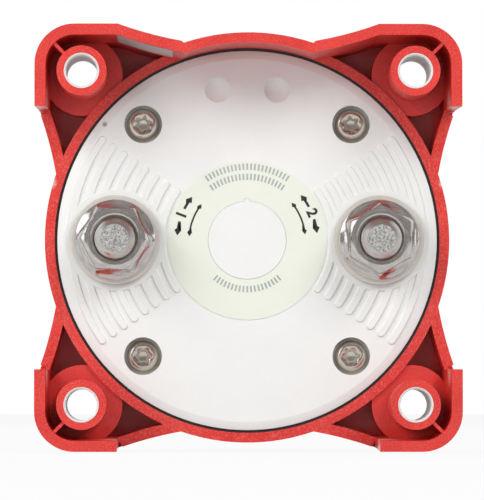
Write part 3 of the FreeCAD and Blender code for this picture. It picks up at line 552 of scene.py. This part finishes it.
def make_washer_finish():
    """Bright washer with a painted dark line of shade where its rounded edge begins."""
    finish = plastic_finish(
        "washer_steel", (0.70, 0.67, 0.61), (0.79, 0.76, 0.70), 0.5 * MM, 0.01 * MM, (0.34, 0.46), 0.4
    )
    tree = finish.tree
    # painted shade: a dark olive band just below the washer's top stands in for the shadow gap at its
    # rounded edge
    depth = axes_of(tree, finish.place)[1]
    top = node_top("terminal_washer_1")
    edge = span_node(tree, depth, top - 0.04 * MM, top - 0.18 * MM)
    face_colour = finish.surface.inputs["Base Color"].links[0].from_socket
    finish.colour(mix_node(tree, product(tree, edge, 0.65), face_colour, (0.30, 0.28, 0.20)))
    return finish.material


def make_plain_plastics():
    """Finishes of the rubber, the prints, the sticker and the other plain mouldings, by name."""
    rows = [
        ("red_knob", RED_DEEP, RED_BRIGHT, 0.6, 0.03, (0.3, 0.42)),
        ("black_rubber", (0.012, 0.012, 0.013), (0.022, 0.021, 0.020), 0.4, 0.02, (0.6, 0.75)),
        ("green_print", (0.750, 0.792, 0.695), (0.775, 0.817, 0.722), 0.5, 0.006, (0.34, 0.44)),
        ("carrier_plastic", (0.05, 0.05, 0.055), (0.08, 0.08, 0.085), 0.5, 0.03, (0.38, 0.52)),
        ("print_black", (0.02, 0.02, 0.02), (0.035, 0.035, 0.033), 0.3, 0.004, (0.4, 0.5)),
        ("print_grey", (0.34, 0.38, 0.37), (0.42, 0.46, 0.45), 0.3, 0.004, (0.4, 0.5)),
        ("print_white", (0.78, 0.78, 0.76), (0.84, 0.84, 0.82), 0.3, 0.004, (0.4, 0.5)),
        ("sticker_paper", (0.44, 0.43, 0.43), (0.52, 0.51, 0.51), 0.4, 0.01, (0.45, 0.6)),
    ]
    return {name: plastic_finish(name, low, high, grain * MM, depth * MM, roughness).material
            for name, low, high, grain, depth, roughness in rows}


def make_plain_metals():
    """Finishes of the shaft, springs and contacts, by name. Their rings run about the knob's axis."""
    rows = [
        ("shaft_steel", (0.5, 0.5, 0.49), (0.62, 0.62, 0.61), 0.25, 0.008, (0.14, 0.3), 0.1),
        ("spring_steel", (0.36, 0.36, 0.37), (0.5, 0.5, 0.5), 0.25, 0.008, (0.14, 0.3), 0.1),
        ("contact_copper", (0.72, 0.38, 0.25), (0.82, 0.48, 0.33), 0.5, 0.01, (0.2, 0.4), 2.0),
        ("contact_silver", (0.78, 0.78, 0.77), (0.88, 0.88, 0.86), 0.5, 0.01, (0.2, 0.35), 2.0),
    ]
    axis = (0.0, 0.0, 0.0)
    return {name: metal_finish(name, low, high, axis, pitch * MM, depth * MM, roughness, stretch).material
            for name, low, high, pitch, depth, roughness, stretch in rows}


def finishes_about_studs(name, low, high, *ring_values):
    """Turned metal for each stud place, with its rings about that stud's own axis."""
    return [metal_finish(f"{name}_{number}", low, high, (x, 0.0, z), *ring_values).material
            for number, (x, z) in enumerate(stud_places, 1)]


red_housing = make_housing_finish()
white_cover = make_cover_finish()
plain = {**make_plain_plastics(), **make_plain_metals()}
stud_steel = finishes_about_studs(
    "stud_steel", (0.50, 0.48, 0.45), (0.74, 0.72, 0.68), 0.30 * MM, 0.012 * MM, (0.30, 0.46), 0.6
)
nut_steel = finishes_about_studs(
    "nut_steel", (0.46, 0.44, 0.42), (0.70, 0.68, 0.66), 0.45 * MM, 0.0016 * MM, (0.10, 0.18), 0.35, 0.88
)
washer_steel = make_washer_finish()
screw_steel = plastic_finish(
    "screw_steel", (0.60, 0.54, 0.48), (0.78, 0.72, 0.65), 0.4 * MM, 0.01 * MM, (0.17, 0.28), 1.0
).material
stud_end_steel = mottled_finish(
    "stud_end_steel", (0.30, 0.30, 0.295), (0.74, 0.74, 0.72), 0.48 * MM, 0.6
).material
# painted highlight: a paler, more even copy of the bore's mottled steel for the chamfered mouths
bushing_rim_painted_highlight = mottled_finish(
    "bushing_rim_painted_highlight", (0.80, 0.79, 0.78), (0.92, 0.91, 0.90), 0.4 * MM, 0.35
).material
bushing_steel = mottled_finish(
    "bushing_steel", (0.58, 0.56, 0.55), (0.96, 0.95, 0.93), 0.6 * MM, 0.25
).material

node_finishes = {
    "housing": red_housing, "knob": plain["red_knob"], "knob_cap": plain["red_knob"],
    "back_cover": white_cover, "rating_ring": plain["green_print"], "mounting_bushings": bushing_steel,
    "cover_screws": screw_steel, "knob_screw": screw_steel, "drive_shaft": plain["shaft_steel"],
    "contact_spring": plain["spring_steel"], "retaining_ring": plain["spring_steel"],
}
for number in (1, 2):
    node_finishes[f"terminal_stud_{number}"] = stud_steel[number - 1]
    node_finishes[f"flange_nut_{number}"] = nut_steel[number - 1]
    node_finishes[f"terminal_washer_{number}"] = washer_steel
for finish_name, names in (
    ("black_rubber", ("cover_gasket", "stud_seal_1", "stud_seal_2", "shaft_seal")),
    ("contact_copper", ("fixed_contact_1", "fixed_contact_2", "contact_bridge")),
    ("contact_silver", ("fixed_contact_tips", "bridge_contact_tips")),
    ("carrier_plastic", ("contact_carrier", "thrust_washer")),
):
    for node in names:
        node_finishes[node] = plain[finish_name]
for node, material in node_finishes.items():
    nodes[node].data.materials.clear()
    nodes[node].data.materials.append(material)

# ---------------- pieces with finer form than the solids


def make_eased_pieces():
    """Moulded and pressed pieces with their edges rounded as the tool leaves them."""
    widths = {"housing": 0.35, "back_cover": 0.25, "knob": 0.8, "knob_cap": 0.25,
              "terminal_washer_1": 0.25, "terminal_washer_2": 0.25}
    for node, width in widths.items():
        body = ROTOR if node.startswith("knob") else CASE
        name = node + "_eased"
        mesh = eased_mesh(name, node, width * MM)
        piece = finished(name, mesh, body, node_finishes[node], 32.0)
        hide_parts(node)


def thread_radius_at(depth, angle, crest, root, pitch, low, high):
    """Radius of a right-hand thread at a depth and angle. Past its two ends it is at the root."""
    turn = (depth / pitch - angle / (2 * math.pi)) % 1.0
    ridge = abs(2 * turn - 1)
    profile = min(1.0, max(0.0, 1.35 * ridge - 0.12))
    return root + (crest - root) * (profile if low < depth < high else 0.0)


def make_studs():
    """Terminal studs with a rolled thread, a sawn end with a bevel, and a round head."""
    pitch, thread_depth, steps_a_turn = 1.954 * MM, 0.95 * MM, 8
    end_radius, sawn_radius, head_height = 4.6 * MM, 4.0 * MM, 4.0 * MM
    root = stud_radius - thread_depth
    step_length = pitch / steps_a_turn
    for number, (x, z) in enumerate(stud_places, 1):
        node = f"terminal_stud_{number}"
        tip, head_back, head_radius = node_top(node), node_bottom(node), node_radius(node)
        head_front = head_back + head_height
        first = tip - 1.0 * MM
        low = node_bottom(f"terminal_washer_{number}") - 1.0 * MM
        depths = [first - step * step_length for step in range(int((first - low) / step_length))]
        profile = [(0, tip - 0.12 * MM), (3.2 * MM, tip - 0.08 * MM), (4.35 * MM, tip)]
        profile += [(end_radius, tip - 0.05 * MM)]
        threaded_from = len(profile)
        profile += [(stud_radius, depth) for depth in depths]
        threaded_to = len(profile)
        profile += [(stud_radius, low), (stud_radius, head_front)]
        profile += [(head_radius, head_front), (head_radius, head_back), (0, head_back)]

        def shape(index, angle, radius):
            if not threaded_from <= index < threaded_to:
                return radius
            depth = profile[index][1]
            bevel = end_radius + (tip - depth)
            return min(bevel, thread_radius_at(-depth, angle, stud_radius, root, pitch, -tip, -low))

        mesh = turned_mesh(node + "_threaded", profile, 72, (x, z), shape)
        piece = finished(node + "_threaded", mesh, CASE, stud_steel[number - 1], 50.0)
        piece.data.materials.append(stud_end_steel)
        for face in piece.data.polygons:
            from_axis = math.hypot(face.center.x - x, face.center.z - z)
            if face.center.y > tip - 0.2 * MM and from_axis < sawn_radius:
                face.material_index = 1
        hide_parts(f"terminal_stud_{number}")


def corner_angle_of(node, x, z):
    """Angle of one corner of a nut's hexagon, found on its solid."""
    middle, half_height, widest = (node_top(node) + node_bottom(node)) / 2, 4.2 * MM, 11.05 * MM

    def reach(point):
        from_axis = math.hypot(point.x - x, point.z - z)
        return from_axis < widest, from_axis

    points = [vertex.co for vertex in nodes[node].data.vertices if abs(vertex.co.y - middle) < half_height]
    corner = max(points, key=reach)
    return math.atan2(corner.z - z, corner.x - x)


def make_nuts():
    """Flange nuts: hexagon with chamfered corners and a domed top on a smooth sloping flange."""
    half_flats, land, bore = 9.5 * MM, 9.25 * MM, 5.95 * MM
    slope, level_step, blend_width = math.tan(math.radians(30.0)), 0.14 * MM, 0.4 * MM
    for number, (x, z) in enumerate(stud_places, 1):
        node = f"flange_nut_{number}"
        top, seat, rim = node_top(node), node_bottom(node), node_radius(node)
        corner_angle = corner_angle_of(node, x, z)

        def hexagon(angle):
            local = (angle - corner_angle) % (math.pi / 3) - math.pi / 6
            return half_flats / math.cos(local)

        edge = [(0.35, 0.0), (0.1, 0.12), (0.0, 0.4), (0.0, 1.15), (0.12, 1.4), (0.4, 1.58)]
        profile = [(bore, seat)] + [(rim - inset * MM, seat + rise * MM) for inset, rise in edge]
        smooth_from = len(profile)
        blend = [(0.25, 1.85), (0.50, 2.25), (0.72, 2.68), (0.88, 3.02), (0.97, 3.28), (1.0, 3.55)]
        profile += [(share, seat + rise * MM) for share, rise in blend]
        hexagon_from = len(profile)
        profile += [(1.0, top - step * level_step) for step in range(8, 0, -1)]
        hexagon_to = len(profile)
        dome = [(9.25, -0.02), (8.6, 0.10), (7.9, 0.13), (7.25, 0.04)]
        dome += [(6.65, -0.28), (6.05, -0.95), (5.95, -1.2)]
        profile += [(radius * MM, top + rise * MM) for radius, rise in dome] + [(bore, seat)]

        def shape(index, angle, radius):
            if smooth_from <= index < hexagon_from:
                start = rim - blend_width
                return start + (hexagon(angle) - start) * radius
            if hexagon_from <= index < hexagon_to:
                return min(hexagon(angle), land + (top - profile[index][1]) / slope)
            return radius

        mesh = turned_mesh(node + "_hexagon", profile, 144, (x, z), shape, corner_angle)
        piece = finished(node + "_hexagon", mesh, CASE, nut_steel[number - 1], 24.0)
        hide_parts(node)


def screw_tree():
    """Geometry Nodes tree that sets one form at a rectangle's four corners, each copy turned its own way."""
    inputs = (("Half Width", "Float"), ("Half Height", "Float"))
    tree, source, sink = geometry_tree("screws_at_corners", inputs)
    join = tree.nodes.new("GeometryNodeJoinGeometry")
    for x_side, z_side, turn in ((1.0, 1.0, 0.3), (1.0, -1.0, 1.1), (-1.0, 1.0, 0.7), (-1.0, -1.0, 0.1)):
        moved = tree.nodes.new("GeometryNodeTransform")
        spot = tree.nodes.new("ShaderNodeCombineXYZ")
        tree.links.new(product(tree, source.outputs["Half Width"], x_side), spot.inputs[0])
        tree.links.new(product(tree, source.outputs["Half Height"], z_side), spot.inputs[2])
        tree.links.new(source.outputs["Geometry"], moved.inputs["Geometry"])
        tree.links.new(spot.outputs[0], moved.inputs["Translation"])
        moved.inputs["Rotation"].default_value = (0.0, turn, 0.0)
        tree.links.new(moved.outputs[0], join.inputs[0])
    close_tree(tree, join.outputs[0], source, sink)
    return tree


def make_cover_screws():
    """Pan-head screws with six-lobed sockets, one form set at the four corners by Geometry Nodes."""
    top, tail = node_top("cover_screws"), node_bottom("cover_screws")
    seat, floor = top - 2.9 * MM, top - 1.9 * MM
    socket, shank = 2.75 * MM, 2.0 * MM
    profile = [(0, floor - 0.25 * MM), (0.9 * MM, floor - 0.05 * MM), (1.5 * MM, floor)]
    profile += [(socket - 0.25 * MM, floor), (socket - 0.06 * MM, floor + 0.3 * MM)]
    profile += [(socket, top - 0.42 * MM), (socket + 0.22 * MM, top - 0.16 * MM)]
    crown = [(3.25, 0.02), (3.7, 0.12), (4.2, 0.42), (4.6, 0.86), (4.86, 1.4)]
    profile += [(radius * MM, top - drop * MM) for radius, drop in crown]
    profile += [(screw_radius, top - 1.95 * MM), (screw_radius, seat + 0.1 * MM)]
    profile += [(screw_radius - 0.1 * MM, seat)]
    profile += [(shank, seat), (shank, tail + 1.0 * MM), (1.2 * MM, tail), (0, tail)]
    lobes = {2: 0.10, 3: 0.24, 4: 0.24, 5: 0.24, 6: 0.17}  # share of the radius, by place in the profile

    def shape(index, angle, radius):
        return radius * (1.0 - lobes.get(index, 0.0) * (0.5 - 0.5 * math.cos(6 * angle)))

    form = turned_mesh("screw_form", profile, 72, (0.0, 0.0), shape)
    sizes = {"Half Width": screw_x, "Half Height": screw_z, "Finish": screw_steel}
    mesh = grown_mesh(form, screw_tree(), sizes)
    piece = finished("cover_screws_lobed", mesh, CASE, screw_steel, 38.0)
    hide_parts("cover_screws")


def make_bushings():
    """Steel tubes in the corner bosses, with chamfered mouths in a paler steel that paints their highlight,
    and a roughly turned bore.
    """
    name = "mounting_bushings_turned"
    back, front = node_top("mounting_bushings"), node_bottom("mounting_bushings")
    outer, bore, bevel = 5.5 * MM, 4.85 * MM, 0.45 * MM
    mouth = bore + bevel
    profile = [(mouth, back), (bore, back - bevel), (bore, front + bevel), (mouth, front)]
    profile += [(outer, front), (outer, back), (mouth, back)]
    places = [(hole_half * x_side, hole_half * z_side) for x_side in (1, -1) for z_side in (1, -1)]
    meshes = [turned_mesh("bushing_form", profile, 96, place) for place in places]
    piece = finished(name, joined_mesh(name, meshes), CASE, bushing_steel, 30.0)
    piece.data.materials.append(bushing_rim_painted_highlight)
    # the chamfer faces take the paler steel, a painted highlight
    for face in piece.data.polygons:
        if not front + bevel < face.center.y < back - bevel:
            face.material_index = 1
    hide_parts("mounting_bushings")


def pressed_patch(name, node, starts, direction, lift, body, material):
    """Thin sheet laid on a node's surface. starts is a grid of points that look along direction."""
    surface = bmesh.new()
    surface.from_mesh(nodes[node].data)
    tree = BVHTree.FromBMesh(surface)
    surface.free()
    direction = Vector(direction)
    solid = bmesh.new()

    def layer_at(height):
        return [[solid.verts.new(tree.ray_cast(Vector(start), direction)[0] - direction * height)
                 for start in row] for row in starts]

    low, high = layer_at(lift * 0.2), layer_at(lift)
    rows, columns = len(starts), len(starts[0])
    for layer in (low, high):
        for near, far in zip(layer, layer[1:]):
            for column in range(columns - 1):
                solid.faces.new((near[column], near[column + 1], far[column + 1], far[column]))
    border = [(0, column) for column in range(columns)]
    border += [(row, columns - 1) for row in range(1, rows)]
    border += [(rows - 1, column) for column in range(columns - 2, -1, -1)]
    border += [(row, 0) for row in range(rows - 2, 0, -1)]
    for (row, column), (next_row, next_column) in zip(border, border[1:] + border[:1]):
        solid.faces.new((low[row][column], low[next_row][next_column],
                         high[next_row][next_column], high[row][column]))
    return finished(name, mesh_from(solid, name), body, material, 40.0)


def make_sticker():
    """Plain paper sticker on the inside of the upper skirt wall, near one corner."""
    left, length, edge, height = 41.0 * MM, 17.4 * MM, -1.6 * MM, 19.0 * MM
    columns = [left - step * length / 12 for step in range(13)]
    depths = [edge - step * height / 6 for step in range(7)]
    starts = [[(x, y, 50.0 * MM) for x in columns] for y in depths]
    paper = plain["sticker_paper"]
    pressed_patch("wall_sticker", "housing", starts, (0, 0, 1), 0.12 * MM, CASE, paper)


def letter_mesh(text, size, matrix, thickness):
    """Mesh of a word, centred on its own middle and placed by a matrix."""
    curve = bpy.data.curves.new("letters", "FONT")
    curve.body = text
    curve.size = size
    curve.offset = size * 0.035
    curve.align_x = "CENTER"
    curve.align_y = "CENTER"
    curve.extrude = thickness / 2
    mesh = worked_out(placed("letters", curve))
    mesh.transform(matrix)
    return mesh


def frame_matrix(right, up, out, place):
    """Matrix with the given axes as its columns."""
    matrix = Matrix((right, up, out)).transposed().to_4x4()
    matrix.translation = Vector(place)
    return matrix


def back_matrix(angle, radius, level):
    """Place on the back, top outwards, at an angle seen from the back and counted from its left."""
    outward = Vector((math.cos(angle), 0, math.sin(angle)))
    place = outward * radius + Vector((0, level, 0))
    return frame_matrix((-math.sin(angle), 0, math.cos(angle)), outward, (0, 1, 0), place)


def arc_arrow_mesh(middle, half_angle, radius, width, level, thickness, gap):
    """Curved arrow with two heads, flat on the back. gap is half the angle left open in its middle."""
    solid = bmesh.new()
    steps, head = 10, 2.1 * width / radius
    stop = half_angle - head
    line = [gap + (stop - gap) * step / steps for step in range(steps + 1)]
    outline = [(radius + width / 2, angle) for angle in line]
    outline += [(radius + width * 1.35, stop), (radius, half_angle), (radius - width * 1.35, stop)]
    outline += [(radius - width / 2, angle) for angle in reversed(line)]
    for side in (1, -1):
        turned = [(reach, middle + side * angle) for reach, angle in outline]
        points = [(reach * math.cos(angle), reach * math.sin(angle)) for reach, angle in turned]
        top = [solid.verts.new((x, level + thickness / 2, z)) for x, z in points]
        low = [solid.verts.new((x, level - thickness / 2, z)) for x, z in points]
        solid.faces.new(top)
        solid.faces.new(list(reversed(low)))
        for number in range(len(points)):
            after = (number + 1) % len(points)
            solid.faces.new((top[number], low[number], low[after], top[after]))
    bmesh.ops.triangulate(solid, faces=[face for face in solid.faces if len(face.verts) > 4])
    return mesh_from(solid, "arc_arrow")


def make_ring_marks():
    """Black terminal numbers with two-way arrows on the rating ring."""
    level, ink = node_top("rating_ring") + 0.02 * MM, 0.03 * MM
    number_radius, inner_radius, half_angle = 22.2 * MM, 18.4 * MM, 0.300
    meshes = []
    for text, middle in (("1", math.radians(21.0)), ("2", math.radians(157.0))):
        meshes.append(letter_mesh(text, 4.6 * MM, back_matrix(middle, number_radius, level), ink))
        meshes.append(arc_arrow_mesh(middle, half_angle, number_radius, 0.80 * MM, level, ink, 0.095))
        meshes.append(arc_arrow_mesh(middle, half_angle, inner_radius, 0.55 * MM, level, ink, 0.0))
    name = "ring_terminal_marks"
    finished(name, joined_mesh(name, meshes), CASE, plain["print_black"], 30.0)


def tick_tree():
    """Geometry Nodes tree that sets one form in an arc about the knob's axis."""
    numbers = ("Radius", "First Angle", "Step Angle", "Level")
    inputs = [("Count", "Int")] + [(label, "Float") for label in numbers]
    tree, source, sink = geometry_tree("ticks_on_arc", inputs)
    line = tree.nodes.new("GeometryNodeMeshLine")
    tree.links.new(source.outputs["Count"], line.inputs["Count"])
    index = tree.nodes.new("GeometryNodeInputIndex").outputs[0]
    travel = product(tree, index, source.outputs["Step Angle"])
    angle = math_node(tree, "ADD", source.outputs["First Angle"], travel)
    spot = tree.nodes.new("ShaderNodeCombineXYZ")
    side = product(tree, source.outputs["Radius"], math_node(tree, "COSINE", angle))
    rise = product(tree, source.outputs["Radius"], math_node(tree, "SINE", angle))
    for socket, value in zip(spot.inputs, (side, source.outputs["Level"], rise)):
        tree.links.new(value, socket)
    turn = tree.nodes.new("ShaderNodeCombineXYZ")
    tree.links.new(product(tree, angle, -1.0), turn.inputs[1])
    moved = tree.nodes.new("GeometryNodeSetPosition")
    tree.links.new(line.outputs[0], moved.inputs["Geometry"])
    tree.links.new(spot.outputs[0], moved.inputs["Position"])
    copies = tree.nodes.new("GeometryNodeInstanceOnPoints")
    tree.links.new(moved.outputs[0], copies.inputs["Points"])
    tree.links.new(source.outputs["Geometry"], copies.inputs["Instance"])
    tree.links.new(turn.outputs[0], copies.inputs["Rotation"])
    close_tree(tree, copies.outputs[0], source, sink)
    return tree


def make_ring_ticks():
    """Grey scale ticks on the rating ring."""
    tree = tick_tree()
    length, thickness, width = 2.0 * MM, 0.03 * MM, 0.55 * MM
    meshes = []
    rows = ((23.3, 57.0, 123.0, 23), (20.1, 56.0, 124.0, 21), (15.5, 230.0, 310.0, 19))
    for radius, first, last, count in rows:
        form = bmesh.new()
        bmesh.ops.create_cube(form, size=1.0, matrix=Matrix.Diagonal((length, thickness, width, 1.0)))
        meshes.append(grown_mesh(mesh_from(form, "tick_form"), tree, {
            "Count": count,
            "Radius": radius * MM,
            "First Angle": math.radians(first),
            "Step Angle": math.radians((last - first) / (count - 1)),
            "Level": node_top("rating_ring") + 0.02 * MM,
            "Finish": plain["print_grey"],
        }))
    name = "ring_scale_ticks"
    finished(name, joined_mesh(name, meshes), CASE, plain["print_grey"], 30.0)


def make_cover_numbers():
    """Small raised numbers beside the two dimples, in the cover's own plastic."""
    level, height = node_top("rating_ring") - 0.2 * MM, 45.4 * MM
    meshes = []
    for text, x in (("1", 19.7 * MM), ("2", -19.2 * MM)):
        matrix = frame_matrix((-1, 0, 0), (0, 0, 1), (0, 1, 0), (x, level, height))
        meshes.append(letter_mesh(text, 3.8 * MM, matrix, 0.3 * MM))
    name = "cover_numbers"
    finished(name, joined_mesh(name, meshes), CASE, white_cover, 30.0)


def make_front_marks():
    """OFF and ON on the front face, and the white mark at the end of the knob's grip."""
    level, radius = node_bottom("housing") - 0.1 * MM, 50.2 * MM
    meshes = []
    for text, x, z in (("OFF", -radius, 0.0), ("ON", 0.0, radius)):
        matrix = frame_matrix((1, 0, 0), (0, 0, 1), (0, -1, 0), (x, level, z))
        meshes.append(letter_mesh(text, 7.6 * MM, matrix, 0.5 * MM))
    name, paint = "on_off_letters", plain["print_white"]
    finished(name, joined_mesh(name, meshes), CASE, paint, 30.0)
    mark_x, mark_length, mark_width = -38.0 * MM, 2.4 * MM, 3.0 * MM
    columns = [mark_x - step * mark_length / 4 for step in range(5)]
    heights = [(step / 6 - 0.5) * mark_width for step in range(7)]
    starts = [[(x, -110.0 * MM, z) for x in columns] for z in heights]
    away, lift = (0, 1, 0), 0.08 * MM
    pressed_patch("knob_pointer_mark", "knob", starts, away, lift, ROTOR, paint)


make_eased_pieces()
make_studs()
make_nuts()
make_cover_screws()
make_bushings()
make_sticker()
make_ring_marks()
make_ring_ticks()
make_cover_numbers()
make_front_marks()

# ---------------- floor, light and camera


def make_floor():
    """Plain white floor that keeps the soft shadow, a little under the housing."""
    mesh = bpy.data.meshes.new("floor")
    level, reach = cad_low[2] - 0.2 * MM, 6.0
    corners = [(-reach, -reach, level), (reach, -reach, level)]
    corners += [(reach, reach, level), (-reach, reach, level)]
    mesh.from_pydata(corners, [], [(0, 1, 2, 3)])
    floor = placed("floor", mesh)
    material = bpy.data.materials.new("floor_white")
    material.use_nodes = True
    tree = material.node_tree
    surface = tree.nodes["Principled BSDF"]
    surface.inputs["Base Color"].default_value = (0.58, 0.58, 0.58, 1.0)
    surface.inputs["Roughness"].default_value = 0.9
    glow = tree.nodes.new("ShaderNodeEmission")
    glow.inputs["Strength"].default_value = 1.0
    path = tree.nodes.new("ShaderNodeLightPath")
    to_eye = product(tree, path.outputs["Is Camera Ray"], 0.90)
    to_gloss = product(tree, path.outputs["Is Glossy Ray"], 0.40)
    blend = tree.nodes.new("ShaderNodeMixShader")
    tree.links.new(math_node(tree, "MAXIMUM", to_eye, to_gloss), blend.inputs[0])
    tree.links.new(surface.outputs[0], blend.inputs[1])
    tree.links.new(glow.outputs[0], blend.inputs[2])
    tree.links.new(blend.outputs[0], tree.nodes["Material Output"].inputs["Surface"])
    floor.data.materials.append(material)


def make_world():
    """Soft even light, with a white backdrop for the eye and for reflections."""
    world = bpy.data.worlds.new("studio")
    bpy.context.scene.world = world
    world.use_nodes = True
    tree = world.node_tree
    light = tree.nodes["Background"]
    light.inputs["Color"].default_value = (1.0, 1.0, 1.0, 1.0)
    light.inputs["Strength"].default_value = 0.46
    backdrop = tree.nodes.new("ShaderNodeBackground")
    backdrop.inputs["Color"].default_value = (1.0, 1.0, 1.0, 1.0)
    backdrop.inputs["Strength"].default_value = 1.0
    path = tree.nodes.new("ShaderNodeLightPath")
    mirrored = math_node(tree, "MAXIMUM", path.outputs["Is Glossy Ray"], path.outputs["Is Transmission Ray"])
    seen = math_node(tree, "MAXIMUM", path.outputs["Is Camera Ray"], mirrored)
    blend = tree.nodes.new("ShaderNodeMixShader")
    tree.links.new(seen, blend.inputs[0])
    tree.links.new(light.outputs[0], blend.inputs[1])
    tree.links.new(backdrop.outputs[0], blend.inputs[2])
    tree.links.new(blend.outputs[0], tree.nodes["World Output"].inputs["Surface"])


def make_lamp(name, place, width, height, power):
    """Softbox that faces the switch."""
    lamp = bpy.data.lights.new(name, "AREA")
    lamp.shape = "RECTANGLE"
    lamp.size = width
    lamp.size_y = height
    lamp.energy = power
    softbox = placed(name, lamp)
    softbox.location = place
    softbox.rotation_euler = (-Vector(place)).to_track_quat("-Z", "Y").to_euler()
    softbox.visible_glossy = False


def tent_finish(name, low, high, strength):
    """Softly lit cloth."""
    material = bpy.data.materials.new(name)
    material.use_nodes = True
    tree = material.node_tree
    tree.nodes.remove(tree.nodes["Principled BSDF"])
    glow = tree.nodes.new("ShaderNodeEmission")
    glow.inputs["Strength"].default_value = strength
    cloth = noise_node(tree, tree.nodes.new("ShaderNodeTexCoord").outputs["Object"], 1.3)
    tree.links.new(mix_node(tree, span_node(tree, cloth, 0.3, 0.7), low, high), glow.inputs["Color"])
    tree.links.new(glow.outputs[0], tree.nodes["Material Output"].inputs["Surface"])
    return material


def make_tent():
    """Grey walls and white panels that only show in reflections, so polished metal gets its contrast."""
    near, far, side, roof, level = 0.35, 2.6, 2.2, 2.2, cad_low[2] - 1.0 * MM
    section = ((-side, level), (side, level), (side, roof), (-side, roof))
    corners = [(x, y, z) for y in (near, far) for x, z in section]
    faces = [(4, 5, 6, 7), (0, 4, 7, 3), (1, 2, 6, 5), (3, 7, 6, 2)]
    wall_count = len(faces)
    panels = [((1.30, 0.85, 0.66), 0.30, 0.36), ((1.50, 0.75, 0.12), 0.14, 0.14)]
    panels += [((-1.50, 0.78, 0.10), 0.07, 0.26)]
    for place, half_width, half_height in panels:
        centre = Vector(place)
        across = centre.cross(Vector((0, 0, 1))).normalized()
        upward = across.cross(centre).normalized()
        start = len(corners)
        for u, v in ((-1, -1), (1, -1), (1, 1), (-1, 1)):
            corners.append(tuple(centre + across * half_width * u + upward * half_height * v))
        faces.append((start, start + 1, start + 2, start + 3))
    mesh = bpy.data.meshes.new("studio_tent")
    mesh.from_pydata(corners, [], faces)
    tent = placed("studio_tent", mesh)
    mesh.materials.append(tent_finish("tent_grey", (0.17, 0.155, 0.15), (0.40, 0.375, 0.365), 1.0))
    mesh.materials.append(tent_finish("tent_panel", (0.92, 0.95, 1.0), (1.0, 1.0, 1.0), 2.2))
    for face in mesh.polygons[wall_count:]:
        face.material_index = 1
    tent.visible_camera = False
    tent.visible_diffuse = False
    tent.visible_shadow = False
    tent.visible_transmission = False


def make_camera():
    """Long lens square to the back of the switch, a little low and to one side."""
    camera = bpy.data.cameras.new("camera")
    camera.lens = 345.0
    camera.sensor_width = 36.0
    camera.clip_end = 50.0
    holder = placed("camera", camera)
    place, aim = Vector((0.026, 1.49, -0.052)), Vector((0.00205, 0.0, -0.0039))
    holder.location = place
    holder.rotation_euler = (aim - place).to_track_quat("-Z", "Y").to_euler()
    bpy.context.scene.camera = holder


make_floor()
make_world()
make_tent()
make_lamp("key", (-0.85, 1.10, 1.00), 0.8, 0.8, 13.5)
make_lamp("fill", (1.15, 1.05, 0.85), 0.8, 0.8, 15.5)
make_lamp("low", (0.75, 1.25, -0.04), 0.7, 0.5, 3.0)
make_lamp("front_key", (0.9, -1.3, 1.0), 0.8, 0.8, 14.0)
make_camera()
bpy.context.scene.view_settings.view_transform = "Standard"
